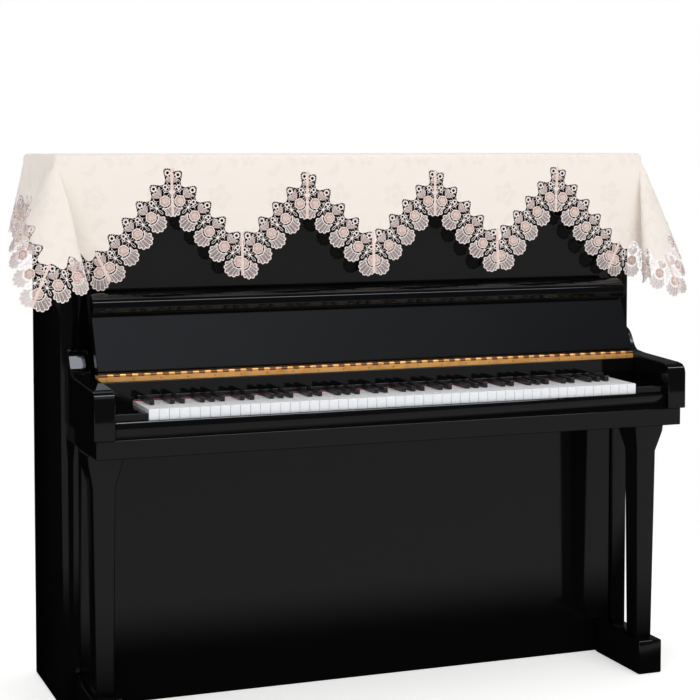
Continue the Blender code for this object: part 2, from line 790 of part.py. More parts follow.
def guide_lines():
    """Lines on the flat cover that the mesh follows: folds, bends and rows of the drape."""
    lines = []
    low_v = -HALF_DEEP - CORNER_DROP - LACE_OUTER
    for inset in (-TOP_RISE_START, -TOP_RISE_START / 2, 0.0, ROLL_LENGTH / 2, ROLL_LENGTH):
        along = HALF_DEEP if inset > 0 else HALF_DEEP + inset
        across = HALF_WIDE if inset > 0 else HALF_WIDE + inset
        for sign in (-1, 1):
            lines.append(((-across, sign * (HALF_DEEP + inset)), (across, sign * (HALF_DEEP + inset))))
            lines.append(((sign * (HALF_WIDE + inset), -along), (sign * (HALF_WIDE + inset), along)))
    for index in range(-GUIDE_COLUMNS, GUIDE_COLUMNS + 1):
        x = COVER_SHIFT + index * WAVE_PERIOD / 4
        if abs(x) < HALF_WIDE - GUIDE_INSET:
            lines.append(((x, -HALF_DEEP), (x, low_v)))
    row_end = HALF_WIDE - GUIDE_INSET
    for drop in GUIDE_DROPS:
        lines.append(((-row_end, -HALF_DEEP - drop), (row_end, -HALF_DEEP - drop)))
    for corner in CORNERS:
        lines.extend(corner_guides(corner))
    return lines


def corner_guides(corner):
    """Fall lines of one corner's folds, rings across them, and the bend that they start from."""

    def flat(p, q):
        return (corner.x * (HALF_WIDE + p), corner.y * (HALF_DEEP + q))

    def on_ray(angle, reach):
        across = math.sin(angle)
        ahead = math.cos(angle)
        if angle < 0:
            return flat(across * reach, ROLL_LENGTH + ahead * reach)
        if angle > math.pi / 2:
            return flat(ROLL_LENGTH + across * reach, ahead * reach)
        return flat(across * (ROLL_LENGTH + reach), ahead * (ROLL_LENGTH + reach))

    rays = [(on_ray(angle, RING_REACHES[0]), on_ray(angle, GUIDE_REACH)) for angle in corner.row_angles]
    rings = []
    for reach in RING_REACHES:
        points = [on_ray(angle, reach) for angle in corner.row_angles]
        rings.extend(zip(points, points[1:]))
    for radius in (ROLL_LENGTH / 2, ROLL_LENGTH):
        turns = [math.pi / 2 * step / BEND_STEPS for step in range(BEND_STEPS + 1)]
        points = [flat(radius * math.sin(turn), radius * math.cos(turn)) for turn in turns]
        rings.extend(zip(points, points[1:]))
    return rays + rings


def clip_line(line, low, high):
    """Part of a line inside a box, or None."""
    start = np.array(line[0])
    step = np.array(line[1]) - start
    first, last = 0.0, 1.0
    for axis in range(2):
        if abs(step[axis]) < 1e-12:
            if start[axis] < low[axis] or start[axis] > high[axis]:
                return None
            continue
        ends = sorted(((low[axis] - start[axis]) / step[axis], (high[axis] - start[axis]) / step[axis]))
        first = max(first, ends[0])
        last = min(last, ends[1])
    if last - first < 1e-6:
        return None
    return (start + step * first, start + step * last)


def inside_loop(loop, x, y):
    """Whether each point lies in a closed loop."""
    ring = np.array([(point[0], point[1]) for point in loop])
    nxt = np.roll(ring, -1, axis=0)
    inside = np.zeros(len(x), dtype=bool)
    for (x1, y1), (x2, y2) in zip(ring, nxt):
        crosses = (y1 > y) != (y2 > y)
        if y1 != y2:
            at = x1 + (y - y1) * (x2 - x1) / (y2 - y1)
            inside ^= crosses & (x < at)
    return inside


def fill_flat(outline, holes, lines):
    """Triangles of a flat piece with holes, with edges along the given lines."""
    points = []
    edges = []
    for loop in [outline, *holes]:
        first = len(points)
        count = len(loop)
        points.extend(Vector((p[0], p[1])) for p in loop)
        edges.extend((first + k, first + (k + 1) % count) for k in range(count))
    low = np.array([min(p[k] for p in outline) for k in range(2)]) - 0.004
    high = np.array([max(p[k] for p in outline) for k in range(2)]) + 0.004
    for line in lines:
        part = clip_line(line, low, high)
        if part is not None:
            first = len(points)
            points.extend((Vector(part[0]), Vector(part[1])))
            edges.append((first, first + 1))
    verts, _, faces, _, _, _ = delaunay_2d_cdt(points, edges, [], 0, 2e-5)
    flat = np.array([(v.x, v.y) for v in verts])
    triangles = np.array([tuple(face) for face in faces if len(face) == 3])
    centre = flat[triangles].mean(axis=1)
    keep = inside_loop(outline, centre[:, 0], centre[:, 1])
    for hole in holes:
        keep &= ~inside_loop(hole, centre[:, 0], centre[:, 1])
    triangles = triangles[keep]
    used = np.unique(triangles)
    renumber = np.full(len(flat), -1)
    renumber[used] = np.arange(len(used))
    return flat[used], renumber[triangles]


def hang_piece(name, outline, holes, lines, thick, spec):
    """A cut piece of cloth or lace as a thin closed solid, hung on the drape."""
    flat, triangles = fill_flat(outline, holes, lines)
    middle = drape(flat[:, 0], flat[:, 1])
    normal = drape_normals(flat[:, 0], flat[:, 1])
    bm = bmesh.new()
    upper = [bm.verts.new(place) for place in middle + normal * thick / 2]
    lower = [bm.verts.new(place) for place in middle - normal * thick / 2]
    rim = {}
    for a, b, c in triangles:
        if cross_2d(flat[a], flat[b], flat[c]) < 0:
            b, c = c, b
        bm.faces.new((upper[a], upper[b], upper[c]))
        bm.faces.new((lower[c], lower[b], lower[a]))
        for start, end in ((a, b), (b, c), (c, a)):
            rim[(start, end)] = rim.get((start, end), 0) + 1
    for start, end in rim:
        if (end, start) not in rim:
            bm.faces.new((upper[end], upper[start], lower[start], lower[end]))
    bmesh.ops.triangulate(bm, faces=[face for face in bm.faces if len(face.verts) > 3])
    mesh = bpy.data.meshes.new(name)
    bm.to_mesh(mesh)
    bm.free()
    mesh.materials.append(finish(spec))
    thing = bpy.data.objects.new(name, mesh)
    bpy.context.scene.collection.objects.link(thing)
    return thing


def cross_2d(a, b, c):
    """Twice the signed area of a flat triangle."""
    return (b[0] - a[0]) * (c[1] - a[1]) - (b[1] - a[1]) * (c[0] - a[0])


def cloth_outline(strips):
    """Outline of the cloth: the inner edges of the lace, drawn in by the seam gap."""
    loop = []
    for strip in strips:
        for point in strip.inner_edge():
            if loop and (loop[-1] - point).length < SEAM_GAP * 3:
                loop[-1] = (loop[-1] + point) / 2
            else:
                loop.append(point)
    drawn = []
    for before, point, after in zip([loop[-1], *loop], loop, [*loop[1:], loop[0]]):
        first = (point - before).normalized()
        last = (after - point).normalized()
        inward = Vector((-first.y - last.y, first.x + last.x)) / (1 + first.dot(last))
        drawn.append(point + inward * SEAM_GAP)
    return drawn


def build_cover():
    """The jacquard cloth and its strips of lace."""
    lines = guide_lines()
    strips = build_strips()
    hang_piece("cover_cloth", cloth_outline(strips), [], lines, CLOTH_THICK, JACQUARD)
    for strip in strips:
        hang_piece(strip.name, strip.outline(), strip.holes(), lines, LACE_THICK, LACE)


CORNERS = [Corner(spec) for spec in CORNER_TABLE]


def main():
    """Build the piano and hang the cover on it."""
    start_clean()
    build_case()
    build_key_bed()
    build_keyboard()
    build_fallboard()
    build_legs()
    build_cover()


main()
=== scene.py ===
"""Looks of a lace-edged top cover, draped over the lid of a plain upright piano.

The cover is drawn flat, in metres, and is then hung over the lid by the same
drape rule as its solids: u runs across the piano and v from front to back. Lace
is drawn in the strip's own places (a, b, h): a along the strip, b outwards from
the line through the roses, and h up from the cloth.
"""

import logging
import math
from collections.abc import Sequence
from dataclasses import dataclass, field
from enum import Enum

import bmesh
import bpy
import numpy as np
from mathutils import Matrix, Vector
from mathutils.geometry import delaunay_2d_cdt


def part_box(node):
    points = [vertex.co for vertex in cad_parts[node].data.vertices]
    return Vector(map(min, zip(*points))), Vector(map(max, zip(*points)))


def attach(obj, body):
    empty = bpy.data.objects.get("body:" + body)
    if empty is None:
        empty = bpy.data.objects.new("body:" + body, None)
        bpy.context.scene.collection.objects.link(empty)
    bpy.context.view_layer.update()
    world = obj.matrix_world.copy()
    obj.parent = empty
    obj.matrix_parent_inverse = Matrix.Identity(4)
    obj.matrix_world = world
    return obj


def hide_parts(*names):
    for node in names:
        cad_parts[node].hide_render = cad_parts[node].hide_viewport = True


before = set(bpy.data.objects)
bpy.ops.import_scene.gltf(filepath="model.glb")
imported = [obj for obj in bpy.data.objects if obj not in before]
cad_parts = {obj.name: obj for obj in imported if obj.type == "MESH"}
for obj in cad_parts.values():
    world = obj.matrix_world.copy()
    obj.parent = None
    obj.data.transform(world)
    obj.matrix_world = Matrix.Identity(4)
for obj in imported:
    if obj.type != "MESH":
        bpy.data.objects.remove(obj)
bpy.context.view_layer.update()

MM = 0.001
LOG = logging.getLogger("top_cover")
Mesh = bpy.types.Mesh
Thing = bpy.types.Object
Material = bpy.types.Material
Work = bmesh.types.BMesh
Socket = bpy.types.NodeSocket
Tree = bpy.types.NodeTree
NodeInputs = dict[str | int, object]
Curve = np.ndarray


# ---------------------------------------------------------------- small tools


def linear(colour: str) -> tuple[float, float, float, float]:
    """Turns an sRGB hex colour to linear light.

    Args:
        colour: Six hex digits after a hash.

    Returns:
        Red, green, blue and an alpha of 1.
    """
    parts = [int(colour[k : k + 2], 16) / 255 for k in (1, 3, 5)]
    light = [c / 12.92 if c <= 0.04045 else ((c + 0.055) / 1.055) ** 2.4 for c in parts]
    return (light[0], light[1], light[2], 1.0)


def feed(tree: Tree, node: bpy.types.Node, inputs: NodeInputs) -> None:
    """Sets a node's sockets to values, or links other nodes' outputs to them."""
    for socket, value in inputs.items():
        if isinstance(value, Socket):
            tree.links.new(value, node.inputs[socket])
        else:
            node.inputs[socket].default_value = value


def add_node(
    tree: Tree, kind: str, inputs: NodeInputs | None = None, settings: dict[str, object] | None = None
) -> bpy.types.Node:
    """Adds a node, with its settings, values and links.

    Args:
        tree: Tree that the node joins.
        kind: Blender's name for the node's type.
        inputs: A value or another node's output for each named or numbered socket.
        settings: Properties of the node itself.

    Returns:
        The new node.
    """
    node = tree.nodes.new(kind)
    for name, value in (settings or {}).items():
        setattr(node, name, value)
    feed(tree, node, inputs or {})
    return node


def ease(share: Curve) -> Curve:
    """A smooth step from 0 to 1."""
    share = np.clip(share, 0.0, 1.0)
    return share * share * (3 - 2 * share)


def link_mesh(name: str, mesh: Mesh) -> Thing:
    """Puts a mesh in the scene as an object at the origin."""
    thing = bpy.data.objects.new(name, mesh)
    bpy.context.scene.collection.objects.link(thing)
    return thing


def mesh_places(mesh: Mesh) -> Curve:
    """Every vertex of a mesh, a row each."""
    flat = np.empty(len(mesh.vertices) * 3, dtype=np.float32)
    mesh.vertices.foreach_get("co", flat)
    return flat.reshape(-1, 3).astype(float)


def move_mesh(mesh: Mesh, places: Curve) -> None:
    """Moves every vertex of a mesh to a new place."""
    mesh.vertices.foreach_set("co", places.astype(np.float32).ravel())
    mesh.update()


def smooth_mesh(mesh: Mesh, sharp_degrees: float) -> None:
    """Shades a mesh smooth, with the edges past an angle left sharp."""
    mesh.shade_smooth()
    mesh.set_sharp_from_angle(angle=math.radians(sharp_degrees))


def make_mesh(name: str, bm: Work) -> Mesh:
    """Turns worked geometry into a mesh."""
    mesh = bpy.data.meshes.new(name)
    bm.to_mesh(mesh)
    bm.free()
    return mesh


def add_block(bm: Work, middle: Sequence[float], size: Sequence[float]) -> list[bmesh.types.BMVert]:
    """Adds a block, and gives its corners."""
    made = bmesh.ops.create_cube(bm, size=1.0)["verts"]
    for vert in made:
        vert.co = Vector(middle[k] + vert.co[k] * size[k] for k in range(3))
    return made


def soften(
    bm: Work, edges: list[bmesh.types.BMEdge], reach: float, steps: int, clamped: bool = False
) -> list[bmesh.types.BMFace]:
    """Rounds edges, and gives the new faces.

    Args:
        bm: What the edges are part of.
        edges: The edges.
        reach: How far the rounding reaches from an edge.
        steps: Faces across it.
        clamped: Whether it stops short where it would run into another.

    Returns:
        The faces of the rounding.
    """
    rounding = bmesh.ops.bevel(
        bm, geom=edges, offset=reach, segments=steps, profile=0.5, affect="EDGES", clamp_overlap=clamped
    )
    return rounding["faces"]


# ---------------------------------------------------------------- finishes


def maths(tree: Tree, operation: str, *values: Socket | float) -> Socket:
    """One sum on numbers or sockets."""
    return add_node(tree, "ShaderNodeMath", dict(enumerate(values)), {"operation": operation}).outputs[0]


def noise(tree: Tree, place: Socket, scale: float, detail: float) -> Socket:
    """Soft uneven patches."""
    clouds = {"Vector": place, "Scale": scale, "Detail": detail}
    return add_node(tree, "ShaderNodeTexNoise", clouds).outputs["Fac"]


def stretch(tree: Tree, place: Socket, scale: tuple[float, float, float]) -> Socket:
    """A place drawn out along an axis, where its scale is under 1."""
    return add_node(tree, "ShaderNodeMapping", {"Vector": place, "Scale": scale}).outputs["Vector"]


def object_place(tree: Tree) -> Socket:
    """The place on the object, in metres."""
    return add_node(tree, "ShaderNodeTexCoord").outputs["Object"]


def blend(tree: Tree, share: Socket, first: str, second: str) -> Socket:
    """The colour at a share of the way from one hex colour to another."""
    colours = {"Factor": share, 6: linear(first), 7: linear(second)}
    return add_node(tree, "ShaderNodeMix", colours, {"data_type": "RGBA"}).outputs[2]


def bump(tree: Tree, height: Socket, strength: float, distance: float) -> Socket:
    """The normal of a surface with a fine relief."""
    relief = {"Strength": strength, "Distance": distance, "Height": height}
    return add_node(tree, "ShaderNodeBump", relief).outputs["Normal"]


def remap(
    tree: Tree,
    value: Socket,
    start: float,
    stop: float,
    low: float = 0.0,
    high: float = 1.0,
    eased: bool = False,
) -> Socket:
    """Carries one range of values over to another.

    Args:
        tree: The material's tree.
        value: What is carried over.
        start: Where the first range starts.
        stop: Where it stops.
        low: What its start becomes.
        high: What its stop becomes.
        eased: Whether the change is soft at both ends.

    Returns:
        An output socket of the new value.
    """
    ends = {"From Min": start, "From Max": stop, "To Min": low, "To Max": high}
    shape = {"interpolation_type": "SMOOTHSTEP"} if eased else {}
    return add_node(tree, "ShaderNodeMapRange", {"Value": value} | ends, shape).outputs["Result"]


@dataclass(frozen=True)
class Finish:
    """What every finish has: a name and a shader."""

    name: str

    def start(self) -> tuple[Material, Tree, bpy.types.Node]:
        """Makes a material with only a Principled shader and its output.

        Returns:
            The material, its tree and the shader.
        """
        material = bpy.data.materials.new(self.name)
        material.use_nodes = True
        tree = material.node_tree
        tree.nodes.clear()
        shader = add_node(tree, "ShaderNodeBsdfPrincipled")
        add_node(tree, "ShaderNodeOutputMaterial", {"Surface": shader.outputs["BSDF"]})
        return material, tree, shader


@dataclass(frozen=True)
class Jacquard(Finish):
    """Cotton and viscose jacquard: a matt twill ground with a satin flower figure in its own colour.

    The eye sees warm cream, softly lit, and a figure that shows only as a faint
    change of sheen and a slightly greyer tone.
    """

    ground: str = "#F1E8DF"
    figure: str = "#ECE3DA"
    thread: float = 0.9 * MM
    coarse: float = 3.2
    repeat: tuple[float, float] = (0.150, 0.190)
    flower: float = 0.034
    bud: float = 0.026
    leaf_ring: float = 0.032

    def material(self) -> Material:
        """Builds the material on the cloth's own flat map, in metres."""
        material, tree, shader = self.start()
        uv = add_node(tree, "ShaderNodeUVMap", settings={"uv_map": "flat"}).outputs["UV"]
        flower = self.flower_mask(tree, self.around(tree, uv, (0.0, 0.0)), self.flower, 5.0)
        bud = self.flower_mask(tree, self.around(tree, uv, (0.5, 0.5)), self.bud, 6.0)
        sprig = self.leaf_mask(tree, self.around(tree, uv, (0.0, 0.5)))
        mask = maths(tree, "MAXIMUM", maths(tree, "MAXIMUM", flower, bud), sprig)
        mottle = maths(tree, "MULTIPLY", noise(tree, uv, 14.0, 4.0), 0.25)
        shade = maths(tree, "MULTIPLY_ADD", mask, 0.75, mottle)
        looks = {
            "Base Color": blend(tree, shade, self.ground, self.figure),
            "Roughness": remap(tree, mask, 0.0, 1.0, 0.88, 0.62),
            "Normal": self.relief(tree, uv, mask),
            "Sheen Weight": 0.25,
            "Sheen Roughness": 0.5,
            "Specular IOR Level": 0.3,
        }
        feed(tree, shader, looks)
        return material

    def around(self, tree: Tree, uv: Socket, moved: tuple[float, float]) -> tuple[Socket, Socket]:
        """A place as seen from the middle of its repeat.

        Args:
            tree: The material's tree.
            uv: The flat map.
            moved: Shares of a repeat that the middles are moved sideways and along.

        Returns:
            Output sockets of the distance in metres and of the angle.
        """
        parts = add_node(tree, "ShaderNodeSeparateXYZ", {0: uv})
        found = []
        for socket, (size, share) in enumerate(zip(self.repeat, moved)):
            cell = maths(tree, "MULTIPLY_ADD", parts.outputs[socket], 1 / size, share + 10.0)
            found.append(maths(tree, "MULTIPLY_ADD", maths(tree, "FRACT", cell), size, -size / 2))
        x, y = found
        square = maths(tree, "MULTIPLY_ADD", x, x, maths(tree, "MULTIPLY", y, y))
        return maths(tree, "SQRT", square), maths(tree, "ARCTAN2", y, x)

    def flower_mask(self, tree: Tree, around: tuple[Socket, Socket], radius: float, petals: float) -> Socket:
        """A flower with petals round an open ring, once in each repeat.

        Args:
            tree: The material's tree.
            around: The distance from the flower's middle and the angle.
            radius: Distance from its middle to the tips of its petals, in metres.
            petals: How many petals it has.

        Returns:
            An output socket: 1 on the petals and 0 off them.
        """
        away, turn = around
        lobes = maths(tree, "ABSOLUTE", maths(tree, "COSINE", maths(tree, "MULTIPLY", turn, petals / 2)))
        rim = maths(tree, "MULTIPLY_ADD", lobes, radius * 0.42, radius * 0.58)
        edge = remap(tree, maths(tree, "SUBTRACT", rim, away), 0.0, 3 * MM, eased=True)
        ring = maths(tree, "ABSOLUTE", maths(tree, "SUBTRACT", away, radius * 0.36))
        return maths(tree, "MULTIPLY", edge, remap(tree, ring, 1 * MM, 3 * MM))

    def leaf_mask(self, tree: Tree, around: tuple[Socket, Socket]) -> Socket:
        """Curved leaves on the stems between the flowers.

        Args:
            tree: The material's tree.
            around: The distance from the middle of the leaves' ring and the angle.

        Returns:
            An output socket: 1 on the leaves and 0 off them.
        """
        away, turn = around
        swirl = maths(tree, "MULTIPLY_ADD", away, 70.0, maths(tree, "MULTIPLY", turn, 4.0))
        blades = remap(tree, maths(tree, "SINE", swirl), 0.35, 0.75, eased=True)
        band = maths(tree, "ABSOLUTE", maths(tree, "SUBTRACT", away, self.leaf_ring))
        return maths(tree, "MULTIPLY", blades, remap(tree, band, 14 * MM, 20 * MM, 1.0, 0.0))

    def relief(self, tree: Tree, uv: Socket, mask: Socket) -> Socket:
        """Twill lines, drawn coarser than the real thread so that they show, and the raised figure.

        Args:
            tree: The material's tree.
            uv: The flat map.
            mask: The figure's mask.

        Returns:
            The output socket of the bent normal.
        """
        turned = add_node(tree, "ShaderNodeMapping", {"Vector": uv, "Rotation": (0.0, 0.0, math.radians(45))})
        lines = {"Vector": turned.outputs["Vector"], "Scale": 1 / (self.thread * 2 * math.pi) / self.coarse}
        twill = add_node(tree, "ShaderNodeTexWave", lines, {"wave_type": "BANDS", "bands_direction": "X"})
        return bump(tree, maths(tree, "MULTIPLY_ADD", twill.outputs["Fac"], 0.35, mask), 0.5, 0.25 * MM)


@dataclass(frozen=True)
class GuipureThread(Finish):
    """Guipure lace: mercerised cotton thread, stitched on a ground that is washed away.

    The eye sees off-white corded rims, pale pink roses and a fine net between
    them. The thread's colour is an attribute of each cord; the roses' ground and the net are tinted darker,
    as painted shade.
    """

    roughness: float = 0.72
    ply: float = 0.8 * MM
    fuzz: float = 6 * MM

    def material(self) -> Material:
        """Builds the material on the cords' own colour attribute."""
        material, tree, shader = self.start()
        tint = add_node(tree, "ShaderNodeAttribute", settings={"attribute_name": "tint"}).outputs["Color"]
        place = object_place(tree)
        worn = remap(tree, noise(tree, place, 1 / self.fuzz, 3.0), 0.0, 1.0, 0.90, 1.06)
        toned = add_node(tree, "ShaderNodeVectorMath", {0: tint, "Scale": worn}, {"operation": "SCALE"})
        looks = {
            "Base Color": toned.outputs["Vector"],
            "Normal": bump(tree, noise(tree, place, 1 / self.ply, 1.0), 0.5, 0.2 * MM),
            "Roughness": self.roughness,
            "Sheen Weight": 0.2,
            "Specular IOR Level": 0.3,
        }
        feed(tree, shader, looks)
        return material


@dataclass(frozen=True)
class Lacquer(Finish):
    """Polyester lacquer, sprayed over board and polished: deep black, mirror smooth, a little uneven."""

    colour: str = "#080808"
    roughness: float = 0.07
    ior: float = 1.36
    ripple: float = 45 * MM

    def material(self) -> Material:
        """Builds the material, with a faint ripple and polishing haze."""
        material, tree, shader = self.start()
        place = object_place(tree)
        haze = noise(tree, place, 9.0, 6.0)
        looks = {
            "Roughness": remap(tree, haze, 0.35, 0.75, self.roughness * 0.7, self.roughness * 1.3),
            "Normal": bump(tree, noise(tree, place, 1 / self.ripple, 2.0), 0.02, 0.4 * MM),
            "Base Color": linear(self.colour),
            "IOR": self.ior,
        }
        feed(tree, shader, looks)
        return material


@dataclass(frozen=True)
class Moulded(Finish):
    """Moulded and buffed acrylic, as on keys: even colour, soft gloss, faint rubbing marks."""

    colour: str = "#F1F3F6"
    worn: str = "#E6E9EC"
    roughness: float = 0.28
    ior: float = 1.49

    def material(self) -> Material:
        """Builds the material, with its marks drawn out along each key."""
        material, tree, shader = self.start()
        marks = noise(tree, stretch(tree, object_place(tree), (1.0, 0.15, 1.0)), 60.0, 5.0)
        looks = {
            "Base Color": blend(tree, marks, self.colour, self.worn),
            "Roughness": remap(tree, marks, 0.0, 1.0, self.roughness * 0.7, self.roughness * 1.4),
            "IOR": self.ior,
        }
        feed(tree, shader, looks)
        return material


@dataclass(frozen=True)
class Brass(Finish):
    """Rolled brass under a clear lacquer: warm gold, brushed along its length, darker in uneven patches."""

    bright: str = "#F0B467"
    deep: str = "#C98A42"
    brush: float = 0.5 * MM

    def material(self) -> Material:
        """Builds the material, with the brush marks along the keyboard."""
        material, tree, shader = self.start()
        place = object_place(tree)
        marks = noise(tree, stretch(tree, place, (0.02, 1.0, 1.0)), 1 / self.brush, 3.0)
        patina = noise(tree, place, 26.0, 4.0)
        tone = add_node(tree, "ShaderNodeValToRGB", {"Fac": maths(tree, "MULTIPLY", marks, patina)})
        stops = ((0.10, self.deep), (0.28, self.bright))
        for element, (position, colour) in zip(tone.color_ramp.elements, stops):
            element.position = position
            element.color = linear(colour)
        looks = {
            "Base Color": tone.outputs["Color"],
            "Roughness": remap(tree, marks, 0.0, 1.0, 0.26, 0.42),
            "Normal": bump(tree, marks, 0.15, 0.05 * MM),
            "Metallic": 0.3,
        }
        feed(tree, shader, looks)
        return material


@dataclass(frozen=True)
class Felt(Finish):
    """Pressed red wool felt: matt, fuzzy and a little uneven."""

    colour: str = "#8E1B1E"
    shadow: str = "#6A1114"

    def material(self) -> Material:
        """Builds the material."""
        material, tree, shader = self.start()
        wool = blend(tree, noise(tree, object_place(tree), 500.0, 4.0), self.colour, self.shadow)
        feed(tree, shader, {"Base Color": wool, "Roughness": 0.95, "Sheen Weight": 0.6})
        return material


@dataclass(frozen=True)
class StudioPaper(Finish):
    """Seamless white paper on the studio floor, burnt out to pure white away from the piano."""

    colour: str = "#F7F7F6"
    glow: float = 0.55
    mirrored: float = 0.6
    mirrored_from: float = -0.5
    mirrored_to: float = -1.1
    white_from: float = 0.9
    white_to: float = 2.2

    def material(self) -> Material:
        """Builds the material: shaded paper, pure white far off, and dimmer in the lacquer."""
        material, tree, shader = self.start()
        place = object_place(tree)
        looks = {
            "Roughness": remap(tree, noise(tree, place, 3.0, 3.0), 0.0, 1.0, 0.85, 0.95),
            "Base Color": linear(self.colour),
            "Specular IOR Level": 0.1,
            "Emission Color": linear(self.colour),
            "Emission Strength": self.glow,
        }
        feed(tree, shader, looks)
        glow = {"Color": linear(self.colour), "Strength": self.in_front(tree, place)}
        dim = add_node(tree, "ShaderNodeEmission", glow).outputs[0]
        white = add_node(tree, "ShaderNodeEmission", {"Color": linear("#FFFFFF"), "Strength": 1.0}).outputs[0]
        away = add_node(tree, "ShaderNodeVectorMath", {0: place}, {"operation": "LENGTH"}).outputs["Value"]
        burnt = remap(tree, away, self.white_from, self.white_to, eased=True)
        rays = add_node(tree, "ShaderNodeLightPath").outputs
        seen = maths(tree, "MULTIPLY", burnt, rays["Is Camera Ray"])
        paper = add_node(tree, "ShaderNodeMixShader", {0: seen, 1: shader.outputs[0], 2: white}).outputs[0]
        whole = add_node(tree, "ShaderNodeMixShader", {0: rays["Is Glossy Ray"], 1: paper, 2: dim}).outputs[0]
        output = next(node for node in tree.nodes if node.bl_idname == "ShaderNodeOutputMaterial")
        feed(tree, output, {"Surface": whole})
        return material

    def in_front(self, tree: Tree, place: Socket) -> Socket:
        """Brightness of the paper in the lacquer: full before the piano, and none beside or behind it."""
        deep = add_node(tree, "ShaderNodeSeparateXYZ", {"Vector": place}).outputs["Y"]
        return remap(tree, deep, self.mirrored_from, self.mirrored_to, 0.0, self.mirrored, eased=True)


@dataclass(frozen=True)
class GlowingCard(Finish):
    """Diffusion cloth in front of a strip light, brighter at one end."""

    bright: float
    dim: float
    left: float
    right: float
    colour: str = "#EEF3FF"

    def material(self) -> Material:
        """Builds the material."""
        material, tree, shader = self.start()
        across = add_node(tree, "ShaderNodeSeparateXYZ", {"Vector": object_place(tree)}).outputs["X"]
        looks = {
            "Emission Strength": remap(tree, across, self.left, self.right, self.bright, self.dim),
            "Emission Color": linear(self.colour),
            "Base Color": linear("#000000"),
            "Specular IOR Level": 0.0,
        }
        feed(tree, shader, looks)
        return material


# ---------------------------------------------------------------- drape

# Lean of the hanging cloth round each lid corner, in degrees from straight down, a column for each bend.
# side: away from the end of the piano; out: away from its front, or from its back for a back corner.
FRONT_LEFT_LEANS = {
    "side": (-22, -15, -10, -6.8, -5.4, -6.6, -8.6, -10, -9.8, -7.6, -3, 4, 12, 18, 22, 23.4, 20.5,
             14.5, 10.8, 9, 7.8, 6, 3, 0.6, 0, 0, 0),
    "out": (0, 0, 0, 0.7, 2.8, 5, 6.6, 8.4, 10.4, 12, 13.2, 13.9, 12.4, 8.6, 3, -6, -15,
            -21.5, -23.6, -20.2, -15.5, -11, -9.4, -11.4, -16, -22, -29),
}
FRONT_RIGHT_LEANS = {
    "side": (-16, -8, -1, 3, 4.8, 4.6, 2.2, -0.8, -2.2, -1.6, 1.6, 6.4, 12, 19, 25, 27, 24.5, 19,
             13.4, 10.4, 9, 7.8, 6, 3, 0.6, 0, 0, 0),
    "out": (0, 0, 0, 0.4, 1.8, 4, 5.2, 6.2, 8, 10, 11.6, 12, 10.8, 7.6, 1, -6.5, -14.5, -20.8,
            -24, -23.4, -20, -15.2, -11, -9.4, -11.4, -16, -22, -29),
}
BACK_LEANS = {
    "side": (-24, -17, -13, -12, -11.4, -8.6, -5.6, -4.2, -2.8, -1.4, -0.4, 0.8, 3, 5, 6, 5.8, 4.6,
             2.6, 0.7, 0, 0, 0),
    "out": (0, 0, 1.5, 8, 16, 21.5, 16, 9.5, 7.5, 10, 18, 26, 29.5, 25, 16, 7, 1.8, -0.8, -4, -9,
            -16, -23),
}


def unfolded(angle: Curve) -> Curve:
    """Unit vectors (side, out, down) of cloth that just hangs down from the lid's edges and corner."""
    before = np.minimum(angle, 0.0)
    after = np.maximum(angle, math.pi / 2)
    return np.stack((np.sin(before), np.cos(after), np.cos(before) * np.sin(after)), axis=-1)


